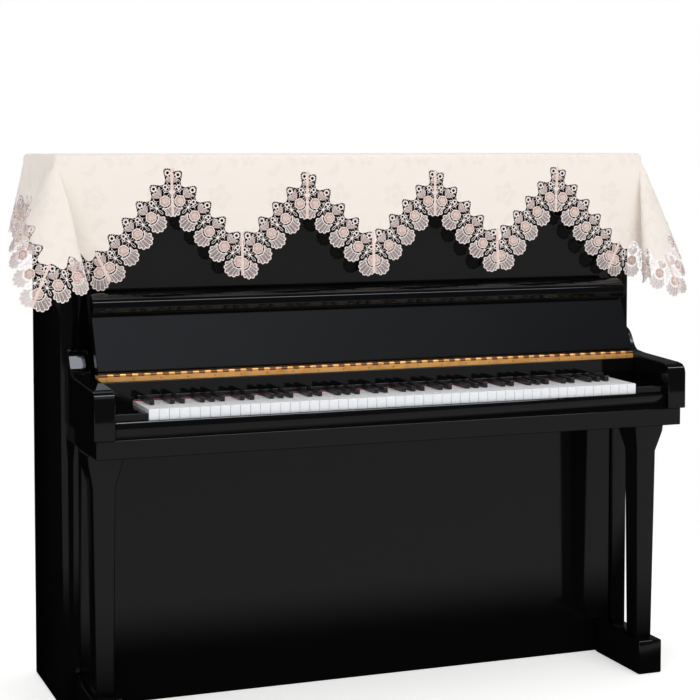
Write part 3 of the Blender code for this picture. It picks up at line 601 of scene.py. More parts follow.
@dataclass
class Corner:
    """The cone of cloth that hangs from one corner of the lid."""

    x: int
    y: int
    leans: dict[str, tuple[float, ...]]
    curve_steps: int = 24
    scales: tuple[float, float] = (0.6, 1.8)
    halvings: int = 40
    lean_ease: float = 0.035
    fold_ease: float = 0.100
    fold_spread: float = math.radians(22)
    vectors: Curve = field(init=False)
    angles: Curve = field(init=False)

    def __post_init__(self) -> None:
        """Scales the leans until the cone is as wide as the flat corner."""
        low, high = self.scales
        for _ in range(self.halvings):
            scale = (low + high) / 2
            rows, vectors, lengths = self.smooth_rows(scale)
            if lengths[-1] < math.radians(90 - rows[0, 0] - rows[-1, 1]):
                low = scale
            else:
                high = scale
        self.vectors = vectors
        self.angles = lengths + math.radians(rows[0, 0])

    def smooth_rows(self, scale: float) -> tuple[Curve, Curve, Curve]:
        """A smooth curve of fall lines through the leans.

        Args:
            scale: What every lean is multiplied by.

        Returns:
            The scaled rows, unit vectors (side, out, down) along the curve, and its length at each.
        """
        rows = np.stack((self.leans["side"], self.leans["out"]), axis=-1) * scale
        padded = np.vstack((2 * rows[0] - rows[1], rows, 2 * rows[-1] - rows[-2]))
        steps = np.linspace(0.0, 1.0, self.curve_steps, endpoint=False)[:, None]
        pieces = []
        for a, b, c, d in zip(padded, padded[1:], padded[2:], padded[3:]):
            even = 2 * b + (c - a) * steps
            bend = (2 * a - 5 * b + 4 * c - d) * steps**2
            twist = (3 * b - a - 3 * c + d) * steps**3
            pieces.append(0.5 * (even + bend + twist))
        leans = np.vstack((*pieces, rows[-1:]))
        lean = np.radians(np.hypot(leans[:, 0], leans[:, 1]))
        spin = np.arctan2(leans[:, 1], leans[:, 0])
        vectors = np.stack((np.sin(lean) * np.cos(spin), np.sin(lean) * np.sin(spin), np.cos(lean)), axis=-1)
        cosines = np.clip(np.sum(vectors[1:] * vectors[:-1], axis=1), -1.0, 1.0)
        return rows, vectors, np.concatenate(([0.0], np.cumsum(np.arccos(cosines))))

    def folded(self, angle: Curve) -> Curve:
        """Unit vectors of the folded cloth's fall line at each flat angle."""
        found = np.stack([np.interp(angle, self.angles, self.vectors[:, k]) for k in range(3)], axis=-1)
        outside = (angle < self.angles[0]) | (angle > self.angles[-1])
        found[outside] = unfolded(angle)[outside]
        return found

    def hang(self, angle: Curve, reach: Curve) -> Curve:
        """Unit vectors of the fall line: straight down at the lid, then smooth, then folded."""
        smooth = np.zeros((len(angle), 3))
        for offset in np.linspace(-1.0, 1.0, 9):
            smooth += (1.0 - offset**2) * self.folded(angle + offset * self.fold_spread)
        smooth /= np.linalg.norm(smooth, axis=1, keepdims=True)
        leaning = ease(reach / self.lean_ease)[:, None]
        folding = ease(reach / self.fold_ease)[:, None]
        found = unfolded(angle) * (1 - leaning) + smooth * (leaning - folding) + self.folded(angle) * folding
        return found / np.linalg.norm(found, axis=1, keepdims=True)


@dataclass
class Drape:
    """How the flat cover hangs on the lid."""

    lid_low: Vector
    lid_high: Vector
    lid_bevel: float = 0.008
    rest: float = 0.0011
    clear: float = 0.0026
    rise_start: float = 0.050
    wave_period: float = 0.3368
    wave_shift: float = 0.0165
    wave_depth: float = 0.006
    wave_start: float = 0.06
    wave_growth: float = 0.20
    valley_drop: float = 0.270
    curl: float = 0.004
    pucker: float = 1.6 * MM
    half_wide: float = field(init=False)
    half_deep: float = field(init=False)
    middle_y: float = field(init=False)
    roll: float = field(init=False)
    roll_length: float = field(init=False)
    corners: list[Corner] = field(init=False)

    def __post_init__(self) -> None:
        """Works out the lid's inner edges and its corners' folds."""
        self.half_wide = (self.lid_high.x - self.lid_low.x) / 2 - self.lid_bevel
        self.half_deep = (self.lid_high.y - self.lid_low.y) / 2 - self.lid_bevel
        self.middle_y = (self.lid_high.y + self.lid_low.y) / 2
        self.roll = self.lid_bevel + self.clear
        self.roll_length = self.roll * math.pi / 2
        self.corners = [
            Corner(-1, -1, FRONT_LEFT_LEANS),
            Corner(1, -1, FRONT_RIGHT_LEANS),
            Corner(-1, 1, BACK_LEANS),
            Corner(1, 1, BACK_LEANS),
        ]

    def roll_over(self, flat: Curve) -> tuple[Curve, Curve, Curve]:
        """How far out and down the cloth is, and how much hangs beyond, past a bend's start."""
        turn = np.clip(flat / self.roll_length, 0.0, 1.0) * math.pi / 2
        beyond = np.maximum(flat - self.roll_length, 0.0)
        return self.roll * np.sin(turn), self.roll * (1 - np.cos(turn)), beyond

    def hang_corner(self, corner: Corner, p: Curve, q: Curve) -> Curve:
        """Offsets (side, out, down) from the lid corner's bend for flat places beyond both edges."""
        angle = np.arctan2(p, q)
        away, down, beyond = self.roll_over(np.hypot(p, q))
        base = np.stack((away * np.sin(angle), away * np.cos(angle), down), axis=-1)
        return base + beyond[:, None] * corner.hang(angle, beyond)

    def hang_edge(self, corner: Corner, along: Curve, past: Curve, beside: bool) -> Curve:
        """Offsets for flat places past one edge only.

        Args:
            corner: The nearest corner.
            along: Place along the edge, negative away from the corner.
            past: Flat distance past the edge.
            beside: Whether the edge is at the piano's end, not its front or back.

        Returns:
            Offsets (side, out, down).
        """
        away, down, beyond = self.roll_over(past)
        nothing = np.zeros_like(away)
        reach = np.hypot(along, beyond)
        turn = np.arctan2(-along, beyond)
        if beside:
            fall = corner.hang(math.pi / 2 + turn, reach)
            base = np.stack((away, nothing, down), axis=-1)
        else:
            fall = corner.hang(-turn, reach)
            base = np.stack((nothing, away, down), axis=-1)
        return base + reach[:, None] * fall

    def wave(self, u: Curve, drop: Curve, share: Curve) -> Curve:
        """How far the front valance stands proud: soft tongues, as uneven as hung cloth."""
        phase = 2 * math.pi * (u - self.wave_shift) / self.wave_period
        uneven = 1.0 + 0.35 * np.sin(0.83 * phase + 0.6)
        deep = np.clip(drop / self.valley_drop, 0.0, 1.2)
        return share * deep * (self.wave_depth * uneven * np.cos(phase) + self.curl * deep)

    def middle(self, u: Curve, v: Curve) -> Curve:
        """Hangs flat points on the cloth's middle surface, before its small puckers.

        Args:
            u: Flat place of each point across the piano.
            v: Flat place of each from front to back.

        Returns:
            Its place in the room, a row each.
        """
        places = np.empty((len(u), 3))
        top = self.lid_high.z + self.rest
        inside = np.minimum(self.half_wide - np.abs(u), self.half_deep - np.abs(v))
        rise = (self.clear - self.rest) * ease(1 - np.maximum(inside, 0.0) / self.rise_start)
        places[:, 0] = u
        places[:, 1] = v + self.middle_y
        places[:, 2] = top + rise
        edge_height = self.lid_high.z + self.clear
        for corner in self.corners:
            mine = ((u < 0) == (corner.x < 0)) & ((v < 0) == (corner.y < 0)) & (inside < 0)
            p = corner.x * u - self.half_wide
            q = corner.y * v - self.half_deep
            zones = (mine & (p > 0) & (q > 0), mine & (p <= 0), mine & (q <= 0))
            for zone, chosen in enumerate(zones):
                if not chosen.any():
                    continue
                if zone == 0:
                    offset = self.hang_corner(corner, p[chosen], q[chosen])
                elif zone == 1:
                    offset = self.hang_edge(corner, p[chosen], q[chosen], False)
                    if corner.y < 0:
                        near = np.clip((-p[chosen] - self.wave_start) / self.wave_growth, 0.0, 1.0)
                        drop = np.maximum(q[chosen] - self.roll_length, 0.0)
                        offset[:, 1] += self.wave(u[chosen], drop, near)
                else:
                    offset = self.hang_edge(corner, q[chosen], p[chosen], True)
                places[chosen, 0] = corner.x * (self.half_wide + offset[:, 0])
                places[chosen, 1] = self.middle_y + corner.y * (self.half_deep + offset[:, 1])
                places[chosen, 2] = edge_height - offset[:, 2]
        return places

    def normals(self, u: Curve, v: Curve, step: float = 0.0004) -> Curve:
        """Outward unit normals of the hung cloth."""
        across = self.middle(u + step, v) - self.middle(u - step, v)
        along = self.middle(u, v + step) - self.middle(u, v - step)
        normal = np.cross(across, along)
        return normal / np.linalg.norm(normal, axis=1, keepdims=True)

    def small_relief(self, u: Curve, v: Curve) -> Curve:
        """Small soft puckers of the hanging cloth, above its valleys and along its falls."""
        past = np.maximum(np.abs(v) - self.half_deep, np.abs(u) - self.half_wide) - self.roll_length
        growth = ease(past / 0.08)
        fall = np.sin(u * 61 + 1.3 * np.sin(v * 17) + 0.4) * np.sin(v * 11 + u * 7 + 1.1)
        slow = np.sin(u * 23 - v * 9 + 0.7) * np.cos(v * 19 + u * 5)
        valley = np.cos(math.pi * (u - self.wave_shift) / self.wave_period) ** 2
        below = -self.half_deep - v
        dimple = valley**6 * np.exp(-(((below - 0.185) / 0.022) ** 2)) * (v < 0)
        return growth * self.pucker * (0.45 * fall + 0.55 * slow) - 2.2 * MM * dimple * growth

    def hang(self, u: Curve, v: Curve, height: Curve) -> Curve:
        """Hung places of flat points and their height above the cloth's middle."""
        lift = self.small_relief(u, v) + height
        return self.middle(u, v) + self.normals(u, v) * lift[:, None]

    def hang_mesh(self, mesh: Mesh, origin: Vector, along: Vector, across: Vector) -> None:
        """Moves a mesh from its own flat places to the hung ones.

        Args:
            mesh: The mesh; its z is the height above the cloth's middle.
            origin: Flat place of its origin.
            along: Flat direction of its x.
            across: Flat direction of its y.
        """
        local = mesh_places(mesh)
        first, run, side = (np.array((v.x, v.y)) for v in (origin, along, across))
        flat = first + local[:, :1] * run + local[:, 1:2] * side
        move_mesh(mesh, self.hang(flat[:, 0], flat[:, 1], local[:, 2]))
        if along.x * across.y < along.y * across.x:
            mesh.flip_normals()


# ---------------------------------------------------------------- flat pattern


@dataclass
class Strip:
    """One straight length of lace between two seams, or between a seam and the back hem."""

    name: str
    start: Vector
    end: Vector
    start_cut: tuple[Vector, Vector]
    end_cut: tuple[Vector, Vector]
    phase: float
    pattern: "Pattern"
    length: float = field(init=False)
    along: Vector = field(init=False)
    out: Vector = field(init=False)

    def __post_init__(self) -> None:
        """Works out the strip's length and directions."""
        self.length = (self.end - self.start).length
        self.along = (self.end - self.start).normalized()
        self.out = Vector((self.along.y, -self.along.x))

    def place(self, a: float, b: float) -> Vector:
        """Flat place of a point a along the strip and b outwards."""
        return self.start + self.along * a + self.out * b

    def inside(self, point: Vector) -> bool:
        """Whether a flat point lies between the strip's two seams."""
        first, first_normal = self.start_cut
        last, last_normal = self.end_cut
        return (point - first).dot(first_normal) > 0 and (last - point).dot(last_normal) > 0

    def cross(self, inner: Vector, outer: Vector) -> Vector:
        """Where a line from a point inside to a point outside meets the seam."""
        for _ in range(40):
            middle = (inner + outer) / 2
            if self.inside(middle):
                inner = middle
            else:
                outer = middle
        return inner

    def trimmed(self, points: list[Vector]) -> list[Vector]:
        """Keeps the run of a line that passes the strip's middle, with its ends cut on the seams.

        Args:
            points: The line, from the strip's start to its end.

        Returns:
            The points that are kept, and where the line meets each seam.
        """
        middle = self.place(self.length / 2, 0.0)
        start = min(range(len(points)), key=lambda index: abs((points[index] - middle).dot(self.along)))
        first = start
        while first > 0 and self.inside(points[first - 1]):
            first -= 1
        last = start
        while last < len(points) - 1 and self.inside(points[last + 1]):
            last += 1
        kept = list(points[first : last + 1])
        if first > 0:
            kept.insert(0, self.cross(points[first], points[first - 1]))
        if last < len(points) - 1:
            kept.append(self.cross(points[last], points[last + 1]))
        return kept

    def repeats(self, spare: float) -> list[float]:
        """Place along the strip of each rose, from a little before it to a little past it."""
        first = math.ceil((-spare - self.phase) / self.pattern.pitch)
        last = math.floor((self.length + spare - self.phase) / self.pattern.pitch)
        return [self.phase + index * self.pattern.pitch for index in range(first, last + 1)]

    def inner_edge(self) -> list[Vector]:
        """Toothed inner edge, where the lace meets the cloth."""
        points = []
        for rose in self.repeats(self.pattern.outer * 3):
            for share in np.arange(self.pattern.tooth_points) / self.pattern.tooth_points - 0.5:
                local = self.pattern.tooth_shift + share * self.pattern.pitch
                points.append(self.place(rose + local, self.pattern.tooth_edge(local)))
        return self.levelled(self.trimmed(points))

    def levelled(self, points: list[Vector]) -> list[Vector]:
        """Runs the toothed line square to each seam from the last tab before it.

        Args:
            points: The toothed line between the seams.

        Returns:
            The line with its ends squared.
        """
        for cut, at_end in ((self.start_cut, False), (self.end_cut, True)):
            normal = cut[1]
            if abs(normal.dot(self.along)) > self.pattern.square_seam:
                continue
            ordered = points if at_end else points[::-1]
            levels = [(point - self.start).dot(self.out) for point in ordered]
            tip_level = self.pattern.tip_spare - self.pattern.tooth_tip
            tip = max(k for k in range(len(levels)) if levels[k] < tip_level)
            past = (ordered[-1] - ordered[tip]).dot(self.along)
            if self.pattern.tip_near < abs(past) < self.pattern.pitch / 2:
                far = ordered[tip] + normal * self.pattern.pitch * (2 if at_end else -2)
                ordered = ordered[: tip + 1] + [self.cross(ordered[tip], far)]
            points = ordered if at_end else ordered[::-1]
        return points


@dataclass
class Pattern:
    """The flat cover as it is cut: a cloth inside a toothed line, and strips of lace round it."""

    drape: Drape
    shift: float = 0.0165
    width: float = 1.958
    peak_drops: tuple[float, ...] = (0.097, 0.108, 0.105, 0.098)
    bend_across: float = 0.667
    bend_drop: float = 0.280
    corner_drop: float = 0.296
    back_drop: float = 0.222
    pitch: float = 0.0507
    outer: float = 0.044
    peak_rose: float = 0.027
    corner_left_rose: float = 0.001
    corner_right_rose: float = 0.007
    tooth_tip: float = 0.053
    tooth_root: float = 0.030
    tooth_shift: float = 0.004
    tooth_square: float = -0.02
    tooth_points: int = 18
    tip_spare: float = 1.5 * MM
    tip_near: float = 0.5 * MM
    square_seam: float = 0.999
    fan_spare: float = 6 * MM

    def tooth_edge(self, along: float) -> float:
        """Inner edge of the lace beside the cloth: rounded square teeth."""
        turn = 2 * math.pi * (along - self.tooth_shift) / self.pitch
        middle = (self.tooth_tip + self.tooth_root) / 2
        swing = (self.tooth_tip - self.tooth_root) / 2
        squared = math.cos(turn) * (1 - self.tooth_square) + math.cos(3 * turn) * self.tooth_square
        return -middle - swing * squared

    def centre_line(self) -> list[Vector]:
        """Corners of the lace's rose line, from back left round the front to back right."""
        half = self.width / 2 - self.outer
        front = -self.drape.half_deep
        back = self.drape.half_deep + self.back_drop
        corner, bend = front - self.corner_drop, front - self.bend_drop
        points = [(-half, back), (-half, corner), (-self.bend_across, bend)]
        for step in range(-3, 4):
            level = self.peak_drops[(step + 3) // 2] if step % 2 else self.drape.valley_drop
            points.append((step * self.drape.wave_period / 2, front - level))
        points.extend(((self.bend_across, bend), (half, corner), (half, back)))
        return [Vector((x + self.shift, y)) for x, y in points]

    def strips(self) -> list[Strip]:
        """Every strip of lace, in order round the cover."""
        points = self.centre_line()
        directions = [(b - a).normalized() for a, b in zip(points, points[1:])]
        cuts = [(points[0], directions[0])]
        for point, before, after in zip(points[1:-1], directions, directions[1:]):
            cuts.append((point, (before + after).normalized()))
        cuts.append((points[-1], directions[-1]))
        first_roses = {
            "side_left": (points[1] - points[0]).length - self.pitch,
            "corner_left": self.corner_left_rose,
            "corner_right": self.corner_right_rose,
            "side_right": self.pitch,
        }
        names = ["side_left", "corner_left"]
        names.extend(f"zigzag_{index}" for index in range(1, 9))
        names.extend(("corner_right", "side_right"))
        found = []
        for index, name in enumerate(names):
            length = (points[index + 1] - points[index]).length
            from_peak = self.peak_rose if index % 2 else length - self.peak_rose
            phase = first_roses.get(name, from_peak)
            ends = (points[index], points[index + 1])
            found.append(Strip(f"lace_{name}", *ends, cuts[index], cuts[index + 1], phase, self))
        return found


# ---------------------------------------------------------------- cloth


def inside_loop(loop: Curve, x: Curve, y: Curve) -> Curve:
    """Whether each point lies in a closed loop."""
    inside = np.zeros(len(x), dtype=bool)
    for (x1, y1), (x2, y2) in zip(loop, np.roll(loop, -1, axis=0)):
        if y1 != y2:
            crosses = (y1 > y) != (y2 > y)
            inside ^= crosses & (x < x1 + (y - y1) * (x2 - x1) / (y2 - y1))
    return inside


@dataclass
class ClothPanel:
    """The jacquard panel: one thin sheet with a closed rim, hung on the drape."""

    drape: Drape
    pattern: Pattern
    thick: float = 0.9 * MM
    fine: float = 6.5 * MM
    coarse: float = 30 * MM
    rim_spare: float = 2 * MM
    merge: float = 1.2 * MM

    def outline(self, strips: list[Strip]) -> Curve:
        """The cloth's outline: the inner edges of the lace, one after the other."""
        loop: list[Vector] = []
        for strip in strips:
            for point in strip.inner_edge():
                if loop and (loop[-1] - point).length < self.merge:
                    loop[-1] = (loop[-1] + point) / 2
                else:
                    loop.append(point)
        return np.array([(point.x, point.y) for point in loop])

    def grid(self, loop: Curve) -> Curve:
        """Spreads points inside the outline: few on the flat top, many where the cloth bends and hangs.

        Args:
            loop: The cloth's outline.

        Returns:
            The flat points, a row each.
        """
        low, high = loop.min(axis=0), loop.max(axis=0)
        found = []
        for step, on_top in ((self.fine, False), (self.coarse, True)):
            u, v = np.meshgrid(np.arange(low[0], high[0], step), np.arange(low[1], high[1], step))
            u = u + (np.arange(len(u)) % 2)[:, None] * step / 2
            u, v = u.ravel(), v.ravel()
            depth = np.minimum(self.drape.half_wide - np.abs(u), self.drape.half_deep - np.abs(v))
            chosen = (depth > self.coarse * 0.8) == on_top
            found.append(np.stack((u[chosen], v[chosen]), axis=-1))
        points = np.vstack(found)
        kept = inside_loop(loop, points[:, 0], points[:, 1])
        near = np.full(len(points), np.inf)
        for corner in loop:
            near = np.minimum(near, np.abs(points - corner).max(axis=1))
        return points[kept & (near > self.rim_spare)]

    def bend_lines(self) -> list[tuple[tuple[float, float], tuple[float, float]]]:
        """Lines that the mesh follows where the cloth rolls over the lid's edges."""
        lines = []
        for share in (0.0, 0.25, 0.5, 0.75, 1.0):
            wide = self.drape.half_wide + share * self.drape.roll_length
            deep = self.drape.half_deep + share * self.drape.roll_length
            for sign in (-1, 1):
                lines.append(((-self.drape.half_wide, sign * deep), (self.drape.half_wide, sign * deep)))
                lines.append(((sign * wide, -self.drape.half_deep), (sign * wide, self.drape.half_deep)))
        return lines

    def build(self, strips: list[Strip]) -> Thing:
        """Cuts, hangs and thickens the panel.

        Args:
            strips: The lace round it.

        Returns:
            The panel's object, with its flat map.
        """
        loop = self.outline(strips)
        count = len(loop)
        points = [Vector(place) for place in np.vstack((loop, self.grid(loop)))]
        edges = [(k, (k + 1) % count) for k in range(count)]
        for line in self.bend_lines():
            edges.append((len(points), len(points) + 1))
            points.extend(Vector(end) for end in line)
        places, _, faces, _, _, _ = delaunay_2d_cdt(points, edges, [], 0, 2e-5)
        flat = np.array([(place.x, place.y) for place in places])
        triangles = np.array([tuple(face) for face in faces if len(face) == 3])
        centre = flat[triangles].mean(axis=1)
        triangles = triangles[inside_loop(loop, centre[:, 0], centre[:, 1])]
        used, triangles = np.unique(triangles, return_inverse=True)
        flat, triangles = flat[used], triangles.reshape(-1, 3)
        a, b, c = (flat[triangles[:, k]] for k in range(3))
        turned = (b[:, 0] - a[:, 0]) * (c[:, 1] - a[:, 1]) < (b[:, 1] - a[:, 1]) * (c[:, 0] - a[:, 0])
        triangles[turned] = triangles[turned][:, ::-1]
        return self.thicken(flat, triangles)

    def thicken(self, flat: Curve, triangles: Curve) -> Thing:
        """Hangs both faces of the sheet and closes its rim.

        Args:
            flat: Flat points of the sheet.
            triangles: Its triangles, turned to face up.

        Returns:
            The panel's object.
        """
        half = np.full(len(flat), self.thick / 2)
        places = np.vstack([self.drape.hang(flat[:, 0], flat[:, 1], side * half) for side in (1, -1)])
        sides = np.vstack([triangles[:, [k, (k + 1) % 3]] for k in range(3)])
        code = sides[:, 0] * len(flat) + sides[:, 1]
        back = sides[:, 1] * len(flat) + sides[:, 0]
        rim = sides[~np.isin(code, back)]
        lower = triangles[:, ::-1] + len(flat)
        first = np.stack((rim[:, 1], rim[:, 0], rim[:, 0] + len(flat)), axis=-1)
        second = np.stack((rim[:, 1], rim[:, 0] + len(flat), rim[:, 1] + len(flat)), axis=-1)
        faces = np.vstack((triangles, lower, first, second))
        mesh = bpy.data.meshes.new("jacquard_panel")
        mesh.from_pydata(places.tolist(), [], faces.tolist())
        uv = mesh.uv_layers.new(name="flat")
        both = np.vstack((flat, flat))
        corners = np.empty(len(mesh.loops), dtype=np.int32)
        mesh.loops.foreach_get("vertex_index", corners)
        uv.uv.foreach_set("vector", both[corners].astype(np.float32).ravel())
        smooth_mesh(mesh, 50)
        return link_mesh("jacquard_panel", mesh)


# ---------------------------------------------------------------- lace


class Tint(Enum):
    """Colours of the lace's threads; the rose's ground and the net are tinted darker than the thread, as
    painted shade.
    """

    CORD = "#F6EAE6"
    # The rose's ground: a dusky pink, darkened as painted shade in the grooves between the petals.
    ROSE_PINK_AND_SHADE = "#C6A79C"
    LEAF = "#DECAC5"
    # The net's thread: greyer than the cord, as painted shade of the fine net.
    NET_THREAD_AND_SHADE = "#C8B8B6"
    BAND = "#F2DAD1"


@dataclass
class Threadwork:
    """Collects cords, cushions of satin stitch and nets of fine thread in one mesh."""

    points: list[Curve] = field(default_factory=list)
    faces: list[list[int]] = field(default_factory=list)
    tints: list[tuple[Tint, int]] = field(default_factory=list)
    count: int = 0

    def add(self, places: Curve, faces: list[list[int]], tint: Tint) -> None:
        """Adds one closed shape."""
        self.points.append(places)
        self.faces.extend([self.count + k for k in face] for face in faces)
        self.tints.append((tint, len(places)))
        self.count += len(places)

    def cord(
        self,
        path: Curve,
        radius: float,
        tint: Tint,
        closed: bool = False,
        sides: int = 4,
        level: float = 0.0,
        squash: float = 0.9,
    ) -> None:
        """Adds a cord along a flat path.

        Args:
            path: Points (a, b) of the path.
            radius: Half the cord's width.
            tint: Its colour.
            closed: Whether its end meets its start.
            sides: Sides of its cross section.
            level: Height of its middle.
            squash: Its thickness over its width.
        """
        count = len(path)
        if closed:
            step = np.roll(path, -1, axis=0) - np.roll(path, 1, axis=0)
        else:
            step = np.gradient(path, axis=0)
        step /= np.linalg.norm(step, axis=1, keepdims=True)
        side = np.stack((-step[:, 1], step[:, 0]), axis=-1)
        turns = 2 * math.pi * (np.arange(sides) + 0.5) / sides
        rings = []
        for turn in turns:
            flat = path + side * radius * math.cos(turn)
            height = np.full((count, 1), level + radius * squash * math.sin(turn))
            rings.append(np.hstack((flat, height)))
        places = np.stack(rings, axis=1).reshape(-1, 3)
        faces = []
        for k in range(count if closed else count - 1):
            here, after = k * sides, ((k + 1) % count) * sides
            for s in range(sides):
                t = (s + 1) % sides
                faces.append([here + s, here + t, after + t, after + s])
        if not closed:
            faces.append(list(range(sides))[::-1])
            faces.append([(count - 1) * sides + s for s in range(sides)])
        self.add(places, faces, tint)

    def cushion(self, outline: Curve, rise: float, tint: Tint, level: float = 0.0) -> None:
        """Adds a domed patch of satin stitch inside a flat outline."""
        count = len(outline)
        middle = outline.mean(axis=0)
        inner = middle + (outline - middle) * 0.6
        rim = np.hstack((outline, np.full((count, 1), level)))
        shoulder = np.hstack((inner, np.full((count, 1), level + rise * 0.8)))
        ends = np.array([(*middle, level + rise), (*middle, level - rise * 0.4)])
        faces = []
        for k in range(count):
            j = (k + 1) % count
            faces.append([k, j, count + j, count + k])
            faces.append([count + k, count + j, 2 * count])
            faces.append([j, k, 2 * count + 1])
        self.add(np.vstack((rim, shoulder, ends)), faces, tint)

    def net(self, outline: Curve, pitch: float, thread: float, turns: tuple[float, ...], tint: Tint) -> None:
        """Fills an outline with straight fine threads.

        Args:
            outline: Closed flat outline.
            pitch: Distance between threads.
            thread: A thread's radius.
            turns: Direction of each set of threads, in degrees.
            tint: Their colour.
        """
        for turn in turns:
            angle = math.radians(turn)
            ahead = np.array((math.cos(angle), math.sin(angle)))
            side = np.array((-ahead[1], ahead[0]))
            far, near = outline @ side, outline @ ahead
            for line in np.arange(far.min() + pitch / 2, far.max(), pitch):
                cuts = []
                for k in range(len(outline)):
                    j = (k + 1) % len(outline)
                    if (far[k] > line) != (far[j] > line):
                        share = (line - far[k]) / (far[j] - far[k])
                        cuts.append(near[k] + share * (near[j] - near[k]))
                cuts.sort()
                for start, end in zip(cuts[::2], cuts[1::2]):
                    if end - start > pitch * 0.8:
                        path = np.array([ahead * start + side * line, ahead * end + side * line])
                        self.cord(path, thread, tint, sides=3)

    def mesh(self, name: str) -> Mesh:
        """Makes the collected shapes one mesh, facing out, with a tint attribute."""
        mesh = bpy.data.meshes.new(name)
        mesh.from_pydata(np.vstack(self.points).tolist(), [], self.faces)
        tint = mesh.attributes.new("tint", "FLOAT_COLOR", "POINT")
        colours = np.vstack([np.tile(linear(kind.value), (count, 1)) for kind, count in self.tints])
        tint.data.foreach_set("color", colours.astype(np.float32).ravel())
        bm = bmesh.new()
        bm.from_mesh(mesh)
        bmesh.ops.recalc_face_normals(bm, faces=bm.faces)
        bm.to_mesh(mesh)
        bm.free()
        return mesh


def arc(centre: tuple[float, float], radius: float, first: float, last: float, count: int) -> Curve:
    """Points on an arc; angles in degrees from straight outwards, growing along the strip."""
    turns = np.radians(np.linspace(first, last, count))
    return np.stack((centre[0] + radius * np.sin(turns), centre[1] + radius * np.cos(turns)), axis=-1)


def teardrop(root: Curve, tip: Curve, wide: float, count: int) -> Curve:
    """A closed loop with a narrow end at its root and a round end at its tip."""
    turns = 2 * math.pi * np.arange(count) / count
    ahead = tip - root
    length = float(np.linalg.norm(ahead))
    ahead = ahead / length
    side = np.array((-ahead[1], ahead[0]))
    far = (1 - np.cos(turns)) / 2
    across = np.sin(turns) * wide / 2 * np.sin(np.pi * far / 2) ** 0.7
    return root + far[:, None] * ahead * length + across[:, None] * side


